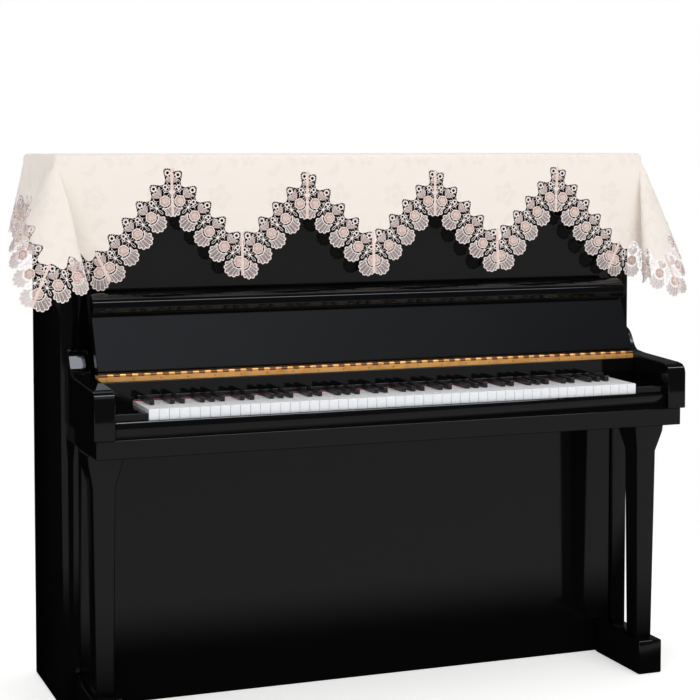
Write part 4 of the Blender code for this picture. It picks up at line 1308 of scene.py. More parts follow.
@dataclass
class LaceRepeat:
    """One repeat of the guipure lace: a rose in a fan of petals, two leaves, an eyelet tab and a flower."""

    pattern: Pattern
    cord: float = 0.75 * MM
    rim: float = 1.25 * MM
    fine: float = 0.55 * MM
    thread: float = 0.27 * MM
    mesh_pitch: float = 1.15 * MM
    rose_radius: float = 13.6 * MM
    arc_gap: float = 4.0 * MM
    fan_radius: float = 23.5 * MM
    fan_notch: float = 6.4 * MM
    fan_sides: tuple[float, ...] = (-94, -64, -34, 0, 34, 64, 94)

    def inner_part(self) -> Mesh:
        """Works all of the repeat but its fan."""
        work = Threadwork()
        self.rose(work)
        self.leaves(work)
        self.flower(work)
        self.tab(work)
        self.bars(work)
        return work.mesh("lace_repeat")

    def fan_part(self) -> Mesh:
        """Works the fan alone."""
        work = Threadwork()
        self.fan(work)
        return work.mesh("lace_fan")

    def rose(self, work: Threadwork) -> None:
        """A full rose: a satin ground in a deep pink that also paints the shade in the grooves between the
        petals, a round of petals, and petals wound into a heart.
        """
        radius = self.rose_radius
        # The ground is darker than the petal cords: painted shade in the grooves between the petals.
        work.cushion(arc((0.0, 0.0), radius * 0.97, 0, 345, 24), 0.4 * MM, Tint.ROSE_PINK_AND_SHADE)
        for k in range(6):
            turn = 60 * k + 10
            x = 0.47 * radius * math.sin(math.radians(turn))
            y = 0.47 * radius * math.cos(math.radians(turn))
            lobe = arc((x, y), 0.48 * radius, turn - 72, turn + 72, 9)
            work.cord(lobe, self.cord * 1.3, Tint.CORD, level=0.4 * MM, sides=5)
        for turn, share in ((20, 0.58), (200, 0.44), (80, 0.29)):
            wound = arc((0.0, 0.0), 1.0, turn, turn + 235, 15) * radius
            wound *= np.linspace(share, share * 0.72, len(wound))[:, None]
            work.cord(wound, self.cord, Tint.CORD, level=0.8 * MM)
        work.cushion(arc((0.0, 0.0), radius * 0.13, 0, 300, 6), 1.6 * MM, Tint.CORD)

    def arc_place(self, angle: float) -> Curve:
        """Where a side of a petal springs from the arc round the rose."""
        turn = math.radians(angle * 0.72)
        radius = self.rose_radius + self.arc_gap
        return np.array((radius * math.sin(turn), radius * math.cos(turn)))

    def notch_place(self, angle: float) -> Curve:
        """Where two petals meet near the fan's outer edge."""
        centre = self.pattern.outer - self.fan_radius
        radius = self.fan_radius - self.fan_notch
        turn = math.radians(angle)
        return np.array((radius * math.sin(turn), centre + radius * math.cos(turn)))

    def fan(self, work: Threadwork) -> None:
        """Round petals of net, each in a thick rim, and the arc that they spring from.

        Args:
            work: What the petals join.
        """
        for first, last in zip(self.fan_sides, self.fan_sides[1:]):
            start, end = self.notch_place(first), self.notch_place(last)
            middle, half = (start + end) / 2, (end - start) / 2
            bulge = self.notch_place((first + last) / 2) - middle
            reach = np.linalg.norm(bulge)
            bulge *= (reach + self.fan_notch - self.rim) / reach
            turns = np.radians(np.linspace(-90, 90, 11))[:, None]
            lobe = middle + half * np.sin(turns) + bulge * np.cos(turns)
            inner_a, inner_b = self.arc_place(last), self.arc_place(first)
            outline = np.vstack((lobe, inner_a, inner_b))
            lean = (first + last) / 2
            # The net is tinted greyer than the cord: painted shade for the fine net.
            work.net(outline, self.mesh_pitch, self.thread, (45 - lean, 135 - lean), Tint.NET_THREAD_AND_SHADE)
            work.cord(lobe, self.rim, Tint.CORD, sides=5)
            work.cord(np.vstack((end, inner_a)), self.rim * 0.6, Tint.CORD)
        start, end = self.notch_place(self.fan_sides[0]), self.arc_place(self.fan_sides[0])
        work.cord(np.vstack((start, end)), self.rim * 0.8, Tint.CORD)
        work.cord(arc((0.0, 0.0), self.rose_radius + self.arc_gap, -70, 70, 19), self.rim * 1.15, Tint.CORD)
        for turn in (-58, -22, 22, 58):
            bar = self.spoke((0.0, 0.0), turn, self.rose_radius - MM, self.arc_gap + MM)
            work.cord(bar, self.fine, Tint.CORD)

    def spoke(self, centre: tuple[float, float], turn: float, start: float, length: float) -> Curve:
        """A straight run away from a centre, at an angle from straight outwards."""
        ahead = np.array((math.sin(math.radians(turn)), math.cos(math.radians(turn))))
        return np.array(centre) + ahead * np.array([[start], [start + length]])

    def leaves(self, work: Threadwork) -> None:
        """Two broad leaves above the rose, with a vein each."""
        for side in (-1, 1):
            root = np.array((side * 1.8, -14.0)) * MM
            tip = np.array((side * 9.0 + 0.8, -31.5)) * MM
            outline = teardrop(root, tip, 12.5 * MM, 16)
            work.net(outline, self.mesh_pitch * 0.9, self.thread, (side * 25.0, side * 115.0), Tint.LEAF)
            work.cord(outline, self.cord * 0.9, Tint.LEAF, closed=True)
            work.cord(np.linspace(root, tip, 3), self.fine, Tint.LEAF)

    def eyelet(self, work: Threadwork, centre: Curve, radius: float, cord: float, root: Curve) -> None:
        """A corded ring with two cords that run together from it to a root.

        Args:
            work: What the cords join.
            centre: The ring's middle.
            radius: Radius of the cord's middle.
            cord: The cord's own radius.
            root: Where the two cords meet.
        """
        work.cord(arc(tuple(centre), radius, 0, 340, 18), cord, Tint.CORD, closed=True, sides=5)
        ahead = (root - centre) / np.linalg.norm(root - centre)
        across = np.array((-ahead[1], ahead[0]))
        for side in (-1, 1):
            start = centre + (ahead * 0.5 + across * side * 0.85) * radius
            middle, end = (start + root) / 2 + across * side * cord, root + across * side * cord * 0.4
            path = np.vstack((start, middle, end))
            work.cord(path, cord * 0.62, Tint.CORD)

    def flower(self, work: Threadwork) -> None:
        """A berry between two roses, with eyelets that radiate from it towards the cloth.

        Args:
            work: What the flower joins.
        """
        berry = np.array((self.pattern.pitch / 2, -3.0 * MM))
        work.cushion(arc(tuple(berry), 3.3 * MM, 0, 324, 10), 1.5 * MM, Tint.CORD)
        rows = (
            {"turn": 180, "away": 18.5, "radius": 4.5, "cord": 1.45},
            {"turn": 149, "away": 14.6, "radius": 2.8, "cord": 0.85},
            {"turn": 211, "away": 14.6, "radius": 2.8, "cord": 0.85},
        )
        for row in rows:
            centre = self.spoke(tuple(berry), row["turn"], 0.0, row["away"] * MM)[1]
            root = self.spoke(tuple(berry), row["turn"], 0.0, 3.4 * MM)[1]
            self.eyelet(work, centre, row["radius"] * MM, row["cord"] * MM, root)
        ends = self.spoke(tuple(berry), 0, 3.2 * MM, 16.0 * MM)
        work.cord(teardrop(ends[0], ends[1], 5.4 * MM, 14), self.cord * 0.9, Tint.CORD, closed=True)
        for turn in (62, 298):
            work.cord(self.spoke(tuple(berry), turn, 3.0 * MM, 8.5 * MM), self.fine * 1.2, Tint.CORD)

    def tab(self, work: Threadwork) -> None:
        """The tab that reaches into the cloth: an eyelet held by bars inside a corded edge."""
        centre = np.array((self.pattern.tooth_shift - 0.4 * MM, -39.3 * MM))
        root = np.array((0.5, -27.0)) * MM
        self.eyelet(work, centre, 5.4 * MM, 1.8 * MM, root)
        work.cord(self.edge_path(0.9 * MM), self.rim, Tint.CORD)
        for turn in (118, 149, 180, 211, 242, 88, 272):
            far = self.to_edge(centre, turn)
            work.cord(self.spoke(tuple(centre), turn, 6.2 * MM, far - 6.2 * MM), self.fine, Tint.CORD)
        for side in (-1, 1):
            ring = arc((centre[0] + side * 10.5 * MM, -31.0 * MM), 2.1 * MM, 0, 315, 8)
            work.cord(ring, self.fine * 1.3, Tint.CORD, closed=True)

    def to_edge(self, centre: Curve, turn: float) -> float:
        """How far the toothed line beside the cloth is from a point in a direction."""
        for reach in np.arange(5.0, 16.0, 0.2) * MM:
            end = self.spoke(tuple(centre), turn, 0.0, float(reach))[1]
            if end[1] < self.pattern.tooth_edge(end[0]) + 0.9 * MM:
                break
        return float(reach)

    def edge_path(self, inset: float) -> Curve:
        """One repeat of the toothed line beside the cloth, moved into the lace."""
        shift, pitch = self.pattern.tooth_shift, self.pattern.pitch
        along = shift + np.linspace(-0.5, 0.5, 34) * pitch
        path = np.array([(a, self.pattern.tooth_edge(a)) for a in along])
        step = np.gradient(path, axis=0)
        step /= np.linalg.norm(step, axis=1, keepdims=True)
        moved = path + np.stack((-step[:, 1], step[:, 0]), axis=-1) * inset
        moved[0, 0], moved[-1, 0] = shift - pitch / 2, shift + pitch / 2
        return moved

    def bars(self, work: Threadwork) -> None:
        """Short bars that tie the rose, the leaves, the flower and the tab to each other."""
        paired = ((12.5, -4.5, 22.0, -3.5), (11.5, 7.0, 19.5, 9.0), (10.0, -12.0, 16.0, -15.0))
        bars = [(side * a, b, side * c, d) for a, b, c, d in paired for side in (-1, 1)]
        bars.extend(((-13.0, -24.0, -20.5, -22.0), (13.5, -24.0, 20.5, -22.0), (-25.35, -26.0, -22.5, -30.5)))
        bars.extend(((25.35, -26.0, 29.0, -30.5), (21.5, -27.0, 19.0, -34.0), (-16.0, -19.0, -11.5, -35.0)))
        for a, b, c, d in bars:
            work.cord(np.array(((a, b), (c, d))) * MM, self.fine, Tint.CORD)


class RunTree:
    """A Geometry Nodes tree that repeats a shape along a straight run."""

    def __init__(self, name: str) -> None:
        """Builds the tree, with its sizes as named inputs.

        Args:
            name: The tree's name.
        """
        self.tree = bpy.data.node_groups.new(name, "GeometryNodeTree")
        self.sockets: dict[str, str] = {}
        face = self.tree.interface
        face.new_socket("Geometry", in_out="INPUT", socket_type="NodeSocketGeometry")
        for label, kind in (
            ("Count", "NodeSocketInt"),
            ("Start", "NodeSocketVector"),
            ("Step", "NodeSocketVector"),
            ("Finish", "NodeSocketMaterial"),
        ):
            made = face.new_socket(label, in_out="INPUT", socket_type=kind)
            self.sockets[label] = made.identifier
        face.new_socket("Geometry", in_out="OUTPUT", socket_type="NodeSocketGeometry")
        source = add_node(self.tree, "NodeGroupInput").outputs
        row = {"Count": source["Count"], "Start Location": source["Start"], "Offset": source["Step"]}
        line = add_node(self.tree, "GeometryNodeMeshLine", row).outputs["Mesh"]
        points = add_node(self.tree, "GeometryNodeMeshToPoints", {"Mesh": line}).outputs["Points"]
        units = {"Points": points, "Instance": source["Geometry"]}
        placed = add_node(self.tree, "GeometryNodeInstanceOnPoints", units).outputs["Instances"]
        real = add_node(self.tree, "GeometryNodeRealizeInstances", {0: placed}).outputs["Geometry"]
        dressed = {"Geometry": real, "Material": source["Finish"]}
        done = add_node(self.tree, "GeometryNodeSetMaterial", dressed).outputs["Geometry"]
        add_node(self.tree, "NodeGroupOutput", {"Geometry": done})

    def run(
        self, unit: Mesh, name: str, count: int, start: Vector, step: Vector, finish: Material
    ) -> Mesh:
        """Repeats a mesh along a run.

        Args:
            unit: The shape that repeats.
            name: Name of the new mesh.
            count: How many times it repeats.
            start: Place of the first.
            step: From each to the next.
            finish: The run's material.

        Returns:
            One plain mesh of the whole run.
        """
        holder = link_mesh(f"{name}_run", unit)
        modifier = holder.modifiers.new("run", "NODES")
        modifier.node_group = self.tree
        for label, value in {"Count": count, "Start": start, "Step": step, "Finish": finish}.items():
            modifier[self.sockets[label]] = value
        graph = bpy.context.evaluated_depsgraph_get()
        graph.update()
        mesh = bpy.data.meshes.new_from_object(holder.evaluated_get(graph))
        mesh.name = name
        bpy.data.objects.remove(holder)
        return mesh


@dataclass
class LaceEdging:
    """The lace sewn round the cover, and the satin bands over its seams."""

    drape: Drape
    pattern: Pattern
    runs: RunTree
    finish: Material
    band_wide: float = 6.4 * MM
    stitch_pitch: float = 1.0 * MM
    fan_centre: float = 25.0 * MM
    fan_reach: float = 24.2 * MM
    reach_step: float = 0.5 * MM
    reach_spare: float = 4 * MM

    def strip(self, strip: Strip, inner: Mesh, fan: Mesh) -> Thing:
        """Repeats, cuts and hangs one strip.

        Args:
            strip: The strip.
            inner: One repeat of the lace without its fan.
            fan: The fan, which only a rose that lies on the strip has.

        Returns:
            The strip's object.
        """
        bm = bmesh.new()
        for part, spare in ((inner, self.pattern.tooth_tip), (fan, self.pattern.fan_spare)):
            roses = strip.repeats(spare)
            first, step = Vector((roses[0], 0.0, 0.0)), Vector((self.pattern.pitch, 0.0, 0.0))
            bm.from_mesh(self.runs.run(part, part.name + "_run", len(roses), first, step, self.finish))
        self.cut(bm, strip)
        mesh = make_mesh(strip.name + "_threads", bm)
        mesh.materials.append(self.finish)
        self.drape.hang_mesh(mesh, strip.start, strip.along, strip.out)
        smooth_mesh(mesh, 75)
        return link_mesh(mesh.name, mesh)

    def cut(self, bm: Work, strip: Strip) -> None:
        """Cuts a strip off at its two seams and closes the cut cords."""
        for (place, normal), sign in ((strip.start_cut, -1), (strip.end_cut, 1)):
            local = place - strip.start
            co = Vector((local.dot(strip.along), local.dot(strip.out), 0.0))
            no = Vector((normal.dot(strip.along), normal.dot(strip.out), 0.0)) * sign
            everything = list(bm.verts) + list(bm.edges) + list(bm.faces)
            bmesh.ops.bisect_plane(bm, geom=everything, dist=1e-7, plane_co=co, plane_no=no, clear_outer=True)
            rims = [edge for edge in bm.edges if edge.is_boundary]
            bmesh.ops.holes_fill(bm, edges=rims, sides=0)

    def stitch(self) -> Mesh:
        """One satin stitch across a seam band."""
        work = Threadwork()
        half = self.band_wide / 2
        shares = np.array((-1.0, -0.86, -0.45, 0.45, 0.86, 1.0))
        path = np.stack((np.zeros(6), shares * half), axis=-1)
        work.cord(path, self.stitch_pitch * 0.62, Tint.BAND, sides=5, squash=1.0)
        lift = (1.0 - shares**4) * 0.7 * MM
        work.points[0][:, 2] += np.repeat(lift, 5)
        return work.mesh("satin_stitch")

    def band(self, strip: Strip, stitch: Mesh) -> Thing:
        """The satin band over the seam between a strip and the next.

        Args:
            strip: The strip on the seam's left.
            stitch: One stitch.

        Returns:
            The band's object.
        """
        place, normal = strip.end_cut
        run = Vector((-normal.y, normal.x))
        if run.dot(strip.out) < 0:
            run.negate()
        inner = (strip.inner_edge()[-1] - place).dot(run)
        count = int((self.outer_reach(strip, place, run) - inner) / self.stitch_pitch)
        name = strip.name.replace("lace_", "seam_") + "_band"
        first, step = Vector((inner, 0.0, 0.0)), Vector((self.stitch_pitch, 0.0, 0.0))
        mesh = self.runs.run(stitch, name, count, first, step, self.finish)
        self.drape.hang_mesh(mesh, place, run, normal)
        smooth_mesh(mesh, 75)
        return link_mesh(mesh.name, mesh)

    def outer_reach(self, strip: Strip, place: Vector, run: Vector) -> float:
        """How far along a seam the lace's fans reach.

        Args:
            strip: The strip on the seam's left.
            place: Where the seam crosses the line through the roses.
            run: The seam's direction, outwards.

        Returns:
            The distance from the crossing.
        """
        centre = self.pattern.outer - self.fan_centre
        furthest = self.pattern.outer / run.dot(strip.out) + self.reach_spare
        found = 0.0
        for distance in np.arange(0.0, furthest, self.reach_step):
            point = place + run * float(distance)
            a = (point - strip.start).dot(strip.along)
            b = (point - strip.start).dot(strip.out)
            for rose in strip.repeats(self.pattern.fan_spare):
                if b < centre or math.hypot(a - rose, b - centre) < self.fan_reach:
                    found = float(distance)
        return found


@dataclass
class Cover:
    """The whole cover: its panel, lace, seam bands and hem stitches."""

    drape: Drape
    pattern: Pattern
    runs: RunTree
    hem_inset: float = 12 * MM
    hem_stitch: float = 3.2 * MM
    hem_pitch: float = 4.6 * MM
    hem_thread: float = 0.35 * MM
    hem_level: float = 0.55 * MM

    def build(self) -> list[Thing]:
        """Makes every piece of the cover.

        Returns:
            The cover's pieces.
        """
        strips = self.pattern.strips()
        thread = GuipureThread("mercerised_cotton_guipure").material()
        panel = ClothPanel(self.drape, self.pattern).build(strips)
        panel.data.materials.append(Jacquard("cotton_viscose_jacquard").material())
        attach(panel, "root")
        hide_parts("cover_cloth")
        edging = LaceEdging(self.drape, self.pattern, self.runs, thread)
        repeat = LaceRepeat(self.pattern)
        inner, fan = repeat.inner_part(), repeat.fan_part()
        trims = []
        for strip in strips:
            piece = edging.strip(strip, inner, fan)
            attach(piece, "root")
            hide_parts(strip.name)
            trims.append(piece)
        stitch = edging.stitch()
        for strip in strips[:-1]:
            piece = edging.band(strip, stitch)
            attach(piece, "root")
            trims.append(piece)
        trims.append(self.hem(thread))
        self.declare(panel)
        return [panel, *trims]

    def hem(self, finish: Material) -> Thing:
        """The row of stitches that holds the back hem.

        Args:
            finish: The thread's material.

        Returns:
            The row's object.
        """
        work = Threadwork()
        half = self.hem_stitch / 2
        path = np.stack((np.linspace(-half, half, 5), np.zeros(5)), axis=-1)
        work.cord(path, self.hem_thread, Tint.CORD, sides=4, level=self.hem_level)
        line = self.pattern.centre_line()
        start, end = line[0], line[-1]
        wide = (end - start).length - 2 * self.pattern.tooth_root
        count = int(wide / self.hem_pitch)
        first = Vector((start.x + self.pattern.tooth_root, start.y - self.hem_inset, 0.0))
        step = Vector((wide / count, 0.0, 0.0))
        mesh = self.runs.run(work.mesh("hem_stitch"), "back_hem_stitches", count, first, step, finish)
        self.drape.hang_mesh(mesh, Vector((0.0, 0.0)), Vector((1.0, 0.0)), Vector((0.0, 1.0)))
        smooth_mesh(mesh, 75)
        piece = link_mesh("back_hem_stitches", mesh)
        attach(piece, "root")
        return piece

    def declare(self, panel: Thing) -> None:
        flat = np.empty(len(panel.data.loops) * 2, dtype=np.float32)
        panel.data.uv_layers["flat"].uv.foreach_get("vector", flat)
        x, y = flat.reshape(-1, 3, 2).astype(float).transpose(2, 1, 0)


# ---------------------------------------------------------------- piano


@dataclass
class Keyboard:
    """White keys with gaps between them, and the felt strip behind."""

    runs: RunTree
    keys: int = 52
    gap: float = 0.9 * MM
    edge: float = 1.1 * MM
    felt_high: float = 3.5 * MM
    felt_deep: float = 3.0 * MM
    felt_back: float = 12.0 * MM
    felt_edge: float = 0.8 * MM

    def build(self) -> list[Thing]:
        """Makes the keys and the felt.

        Returns:
            Both pieces.
        """
        low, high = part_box("white_keys")
        pitch = (high.x - low.x) / self.keys
        key = self.key(pitch - self.gap, low, high)
        first, step = Vector((low.x + pitch / 2, 0.0, 0.0)), Vector((pitch, 0.0, 0.0))
        finish = Moulded("buffed_white_acrylic").material()
        mesh = self.runs.run(key, "white_key_row", self.keys, first, step, finish)
        smooth_mesh(mesh, 35)
        row = link_mesh("white_key_row", mesh)
        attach(row, "root")
        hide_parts("white_keys")
        return [row, self.felt(low, high)]

    def key(self, wide: float, low: Vector, high: Vector) -> Mesh:
        """One key: a block with its upper edges and its corners rounded."""
        bm = bmesh.new()
        middle, size = (low + high) / 2, high - low
        add_block(bm, (0.0, middle.y, middle.z), (wide, size.y, size.z))
        edges = [edge for edge in bm.edges if max(vert.co.z for vert in edge.verts) > middle.z]
        soften(bm, edges, self.edge, 3)
        bmesh.ops.recalc_face_normals(bm, faces=bm.faces)
        return make_mesh("white_key", bm)

    def felt(self, low: Vector, high: Vector) -> Thing:
        """A thin strip of felt that lies on the back ends of the keys."""
        bm = bmesh.new()
        size = Vector((high.x - low.x, self.felt_deep, self.felt_high))
        middle = Vector(((low.x + high.x) / 2, high.y - self.felt_back, high.z + self.felt_high / 2))
        add_block(bm, middle, size)
        soften(bm, list(bm.edges), self.felt_edge, 3)
        mesh = make_mesh("key_felt", bm)
        smooth_mesh(mesh, 40)
        mesh.materials.append(Felt("pressed_red_wool_felt").material())
        strip = link_mesh("key_felt", mesh)
        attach(strip, "root")
        return strip


@dataclass
class PianoHinge:
    """The long brass hinge at the foot of the fallboard: a leaf, knuckles, a pin and screws."""

    runs: RunTree
    knuckle: float = 14.4 * MM
    barrel: float = 3.6 * MM
    inner_barrel: float = 2.9 * MM
    front_deep: float = 12 * MM
    back_from: float = 6 * MM
    back_lower: float = 1.0 * MM
    barrel_rise: float = 0.2
    leaf_edge: float = 0.5 * MM
    knuckle_gap: float = 0.4 * MM
    knuckle_edge: float = 0.3 * MM
    pin_short: float = 2.0 * MM
    screw_pitch: float = 64.0 * MM
    screw: float = 1.9 * MM
    screw_high: float = 0.9 * MM
    screw_crown: float = 0.7
    screw_out: float = 0.2 * MM
    screw_end: float = 20 * MM
    slot_half: float = 0.25 * MM

    def build(self) -> list[Thing]:
        """Makes the leaf with its barrel, and the screws.

        Returns:
            Both pieces.
        """
        low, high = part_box("fallboard_rail")
        brass = Brass("lacquered_rolled_brass").material()
        bm = bmesh.new()
        self.block(bm, low, Vector((high.x, low.y + self.front_deep, high.z - self.barrel)))
        back = Vector((low.x, low.y + self.back_from, low.z))
        self.block(bm, back, Vector((high.x, high.y, high.z - self.back_lower)))
        centre = Vector(((low.x + high.x) / 2, low.y + self.barrel, high.z - self.barrel * self.barrel_rise))
        bmesh.ops.recalc_face_normals(bm, faces=bm.faces)
        leaf = make_mesh("hinge_leaf", bm)
        count = int((high.x - low.x) / (2 * self.knuckle))
        start = Vector((centre.x - (count - 1) * self.knuckle, centre.y, centre.z))
        step = Vector((2 * self.knuckle, 0.0, 0.0))
        knuckles = self.runs.run(self.knuckle_mesh(), "hinge_knuckles", count, start, step, brass)
        bm = bmesh.new()
        bm.from_mesh(leaf)
        bm.from_mesh(knuckles)
        mesh = make_mesh("fallboard_hinge", bm)
        mesh.materials.append(brass)
        smooth_mesh(mesh, 35)
        hinge = link_mesh("fallboard_hinge", mesh)
        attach(hinge, "root")
        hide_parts("fallboard_rail")
        return [hinge, self.pin(centre, high.x - low.x), self.screws(low, high)]

    def pin(self, centre: Vector, length: float) -> Thing:
        """The darker barrel between the knuckles.

        Args:
            centre: Its middle.
            length: Length of the whole hinge.

        Returns:
            The barrel's object.
        """
        bm = bmesh.new()
        self.rod(bm, centre, self.inner_barrel, length - self.pin_short)
        bmesh.ops.recalc_face_normals(bm, faces=bm.faces)
        mesh = make_mesh("hinge_pin", bm)
        mesh.materials.append(Brass("tarnished_brass_barrel", bright="#7A4A22", deep="#4A2A12").material())
        smooth_mesh(mesh, 35)
        barrel = link_mesh("hinge_pin", mesh)
        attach(barrel, "root")
        return barrel

    def block(self, bm: Work, low: Vector, high: Vector) -> None:
        """Adds a block with softened edges."""
        middle = [(low[k] + high[k]) / 2 for k in range(3)]
        made = add_block(bm, middle, [high[k] - low[k] for k in range(3)])
        edges = list(dict.fromkeys(edge for vert in made for edge in vert.link_edges))
        soften(bm, edges, self.leaf_edge, 2)

    def rod(self, bm: Work, centre: Vector, radius: float, length: float) -> None:
        """Adds a closed round rod along the keyboard."""
        turn = Matrix.Translation(centre) @ Matrix.Rotation(math.pi / 2, 4, "Y")
        bmesh.ops.create_cone(
            bm, cap_ends=True, segments=20, radius1=radius, radius2=radius, depth=length, matrix=turn
        )

    def knuckle_mesh(self) -> Mesh:
        """One knuckle, a full barrel that stands out from the pin."""
        bm = bmesh.new()
        self.rod(bm, Vector(), self.barrel, self.knuckle - self.knuckle_gap)
        edges = [edge for edge in bm.edges if edge.calc_face_angle(0.0) > 1.0]
        soften(bm, edges, self.knuckle_edge, 2)
        return make_mesh("hinge_knuckle", bm)

    def screws(self, low: Vector, high: Vector) -> Thing:
        """The screws along the leaf: domed heads with a slot.

        Args:
            low: Lowest corner of the hinge's box.
            high: Highest corner of it.

        Returns:
            The row's object.
        """
        bm = bmesh.new()
        turn = Matrix.Rotation(math.pi / 2, 4, "X")
        sizes = {"radius1": self.screw, "radius2": self.screw * self.screw_crown, "depth": self.screw_high}
        for side in (-1, 1):
            half = bmesh.ops.create_cone(bm, cap_ends=True, segments=18, matrix=turn, **sizes)["verts"]
            wall, away = Vector((0.0, 0.0, side * self.slot_half)), Vector((0.0, 0.0, -side))
            slot = {"plane_co": wall, "plane_no": away}
            parts = (part for vert in half for part in (vert, *vert.link_edges, *vert.link_faces))
            geom = list(dict.fromkeys(parts))
            cut = bmesh.ops.bisect_plane(bm, geom=geom, clear_outer=True, **slot)["geom_cut"]
            bmesh.ops.holes_fill(bm, edges=[part for part in cut if isinstance(part, bmesh.types.BMEdge)])
        bmesh.ops.recalc_face_normals(bm, faces=bm.faces)
        head = make_mesh("hinge_screw", bm)
        count = int((high.x - low.x - self.screw_end) / self.screw_pitch) + 1
        level = (low.z + high.z - self.barrel) / 2
        left = (low.x + high.x - (count - 1) * self.screw_pitch) / 2
        start = Vector((left, low.y - self.screw_out, level))
        finish = Brass("darkened_brass_screws", bright="#7A5A30", deep="#3A2A18").material()
        mesh = self.runs.run(head, "hinge_screws", count, start, Vector((self.screw_pitch, 0.0, 0.0)), finish)
        smooth_mesh(mesh, 35)
        piece = link_mesh("hinge_screws", mesh)
        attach(piece, "root")
        return piece


@dataclass
class Casework:
    """The piano's lacquered boards and black keys, with their sharp edges eased as they are sanded."""

    eased: float = 1.1 * MM
    rounded: float = 3.2 * MM
    key_eased: float = 0.8 * MM
    steps: int = 3
    sharp: float = math.radians(35)
    merge: float = 1e-6
    level: float = 0.01

    def build(self) -> list[Thing]:
        """Makes a board for each lacquered solid, and gives the lid its finish.

        Returns:
            The boards.
        """
        lacquer = Lacquer("black_polyester_lacquer").material()
        keys = Moulded("buffed_black_phenolic", "#15151A", "#1D1D20", 0.3).material()
        edges = dict.fromkeys(("key_slip", "arm_left", "arm_right", "fallboard_stop"), self.rounded)
        edges["black_keys"] = self.key_eased
        boards = []
        for name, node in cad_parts.items():
            if name.startswith(("cover_", "lace_")) or name in ("white_keys", "fallboard_rail"):
                continue
            finish = keys if name == "black_keys" else lacquer
            if name == "lid":
                node.data.materials.clear()
                node.data.materials.append(finish)
                continue
            board = link_mesh(name + "_board", self.board(node, edges.get(name, self.eased), finish))
            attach(board, "root")
            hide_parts(name)
            boards.append(board)
        return boards

    def board(self, node: Thing, radius: float, finish: Material) -> Mesh:
        """A copy of a solid with its sharp edges rounded.

        Args:
            node: The solid.
            radius: How far the rounding reaches from an edge.
            finish: The board's finish.

        Returns:
            The board's mesh, in its place.
        """
        bm = bmesh.new()
        bm.from_mesh(node.data)
        bm.transform(node.matrix_world)
        bmesh.ops.remove_doubles(bm, verts=bm.verts, dist=self.merge)
        bmesh.ops.dissolve_limit(bm, angle_limit=self.level, verts=bm.verts, edges=bm.edges)
        bmesh.ops.recalc_face_normals(bm, faces=bm.faces)
        for face in bm.faces:
            face.smooth = True
            face.material_index = 0
        sharp = [edge for edge in bm.edges if edge.calc_face_angle(0.0) > self.sharp]
        rounded = set(soften(bm, sharp, radius, self.steps, clamped=True))
        for face in rounded:
            for edge in face.edges:
                edge.smooth = all(other in rounded for other in edge.link_faces)
        mesh = make_mesh(node.name + "_board", bm)
        mesh.materials.append(finish)
        return mesh


# ---------------------------------------------------------------- studio


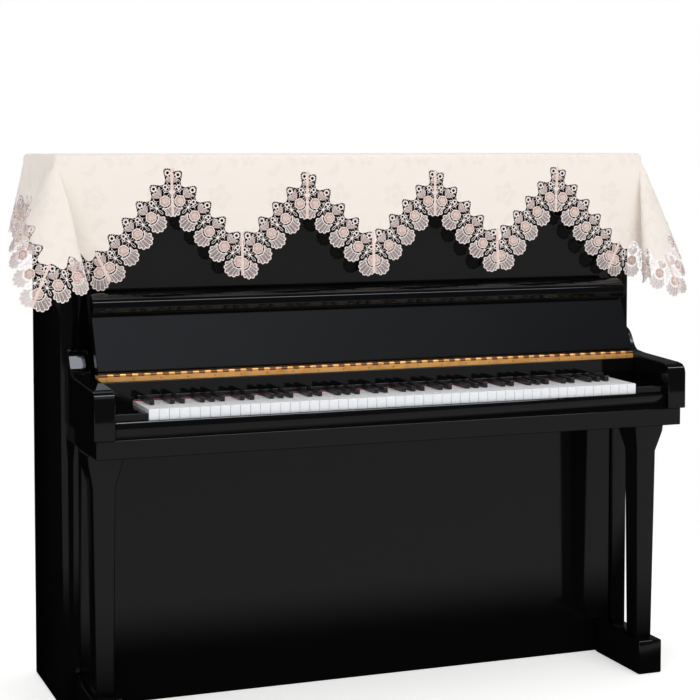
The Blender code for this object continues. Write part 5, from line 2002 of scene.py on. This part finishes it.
@dataclass
class Studio:
    """A pale floor, soft boxes and the camera."""

    floor_radius: float = 40.0
    world_light: float = 0.42
    world_mirrored: float = 0.08
    lens: float = 91.33
    shift: tuple[float, float] = (0.0114, -0.15)
    stand: tuple[float, float, float] = (-1.5864, -4.2453, 1.3158)
    turned: tuple[float, float, float] = (90 - 3.041, 0.031, -20.654)

    def build(self) -> None:
        """Makes the floor, the lights, the surroundings and the camera."""
        self.floor()
        self.cards()
        self.lights()
        self.surroundings()
        self.camera()

    def floor(self) -> None:
        """A wide round floor under the piano."""
        bm = bmesh.new()
        bmesh.ops.create_circle(bm, cap_ends=True, segments=96, radius=self.floor_radius)
        mesh = make_mesh("studio_floor", bm)
        mesh.materials.append(StudioPaper("white_studio_paper").material())
        floor = link_mesh("studio_floor", mesh)

    def cards(self) -> None:
        """Bright cards that only show in the lacquer: a strip on the edges and a sheen on the fallboard."""
        cards = (
            {"name": "strip", "middle": (0.9, -2.0, 4.4), "size": (5.4, 1.8), "bright": 13.0, "fades": 0.7},
            {"name": "sheen", "middle": (2.0, -4.9, 4.4), "size": (5.6, 3.8), "bright": 1.25, "fades": 0.03},
        )
        for card in cards:
            x, y, z = card["middle"]
            wide, deep = card["size"]
            bm = bmesh.new()
            bmesh.ops.create_grid(bm, x_segments=1, y_segments=1, size=0.5)
            for vert in bm.verts:
                vert.co = Vector((vert.co.x * wide + x, vert.co.y * deep + y, z))
            bmesh.ops.reverse_faces(bm, faces=bm.faces)
            mesh = make_mesh(f"studio_{card['name']}_card", bm)
            glow = (card["bright"], card["bright"] * card["fades"])
            finish = GlowingCard(mesh.name + "_cloth", *glow, x - wide / 2, x + wide / 2)
            mesh.materials.append(finish.material())
            thing = link_mesh(mesh.name, mesh)
            thing.visible_camera = False
            thing.visible_diffuse = False
            thing.visible_shadow = False

    def lights(self) -> None:
        """Four soft boxes, none of them mirrored in the lacquer."""
        boxes = (
            {"name": "key", "at": (1.6, -4.2, 3.4), "size": 3.0, "power": 58.0},
            {"name": "fill", "at": (-3.2, -3.2, 2.6), "size": 2.4, "power": 24.0},
            {"name": "top", "at": (0.0, -0.4, 4.2), "size": 3.4, "power": 40.0},
            {"name": "back", "at": (-1.5, 3.6, 3.0), "size": 3.0, "power": 30.0},
        )
        for box in boxes:
            lamp = bpy.data.lights.new(f"soft_box_{box['name']}", "AREA")
            lamp.shape = "SQUARE"
            lamp.size = box["size"]
            lamp.energy = box["power"]
            thing = bpy.data.objects.new(lamp.name, lamp)
            thing.location = box["at"]
            aim = Vector((0.0, 0.0, 1.0)) - thing.location
            thing.rotation_euler = aim.to_track_quat("-Z", "Y").to_euler()
            thing.visible_glossy = False
            bpy.context.scene.collection.objects.link(thing)

    def surroundings(self) -> None:
        """White to the eye, and softer to what it lights and is mirrored in."""
        world = bpy.data.worlds.new("studio_surroundings")
        bpy.context.scene.world = world
        world.use_nodes = True
        tree = world.node_tree
        tree.nodes.clear()
        rays = add_node(tree, "ShaderNodeLightPath").outputs
        shown = remap(tree, rays["Is Camera Ray"], 0.0, 1.0, self.world_light, 1.0)
        dimmed = self.world_mirrored / self.world_light
        mirrored = remap(tree, rays["Is Glossy Ray"], 0.0, 1.0, 1.0, dimmed)
        white = {"Color": linear("#FFFFFF"), "Strength": maths(tree, "MULTIPLY", shown, mirrored)}
        light = add_node(tree, "ShaderNodeBackground", white)
        add_node(tree, "ShaderNodeOutputWorld", {"Surface": light.outputs["Background"]})

    def camera(self) -> None:
        """A long lens a little above the lid, to the left of the keyboard's middle."""
        lens = bpy.data.cameras.new("camera")
        lens.lens = self.lens
        lens.sensor_width = 36.0
        lens.shift_x, lens.shift_y = self.shift
        lens.clip_end = 5 * self.floor_radius
        camera = bpy.data.objects.new("camera", lens)
        camera.location = self.stand
        camera.rotation_euler = [math.radians(angle) for angle in self.turned]
        bpy.context.scene.collection.objects.link(camera)
        bpy.context.scene.camera = camera
        bpy.context.scene.view_settings.view_transform = "Standard"


def report(pieces: list[Thing]) -> None:
    """Logs each new piece and how many triangles it has."""
    total = 0
    for piece in pieces:
        count = sum(len(polygon.vertices) - 2 for polygon in piece.data.polygons)
        total += count
        LOG.info("%s: %d triangles", piece.name, count)
    LOG.info("all new pieces: %d triangles", total)


def main() -> None:
    """Builds the cover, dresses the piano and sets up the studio."""
    logging.basicConfig(level=logging.INFO, format="%(name)s: %(message)s")
    lid_low, lid_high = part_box("lid")
    drape = Drape(lid_low, lid_high)
    pattern = Pattern(drape)
    runs = RunTree("repeat_along_run")
    pieces = Cover(drape, pattern, runs).build()
    pieces.extend(Casework().build())
    pieces.extend(Keyboard(runs).build())
    pieces.extend(PianoHinge(runs).build())
    Studio().build()
    report(pieces)


if __name__ == "__main__":
    main()
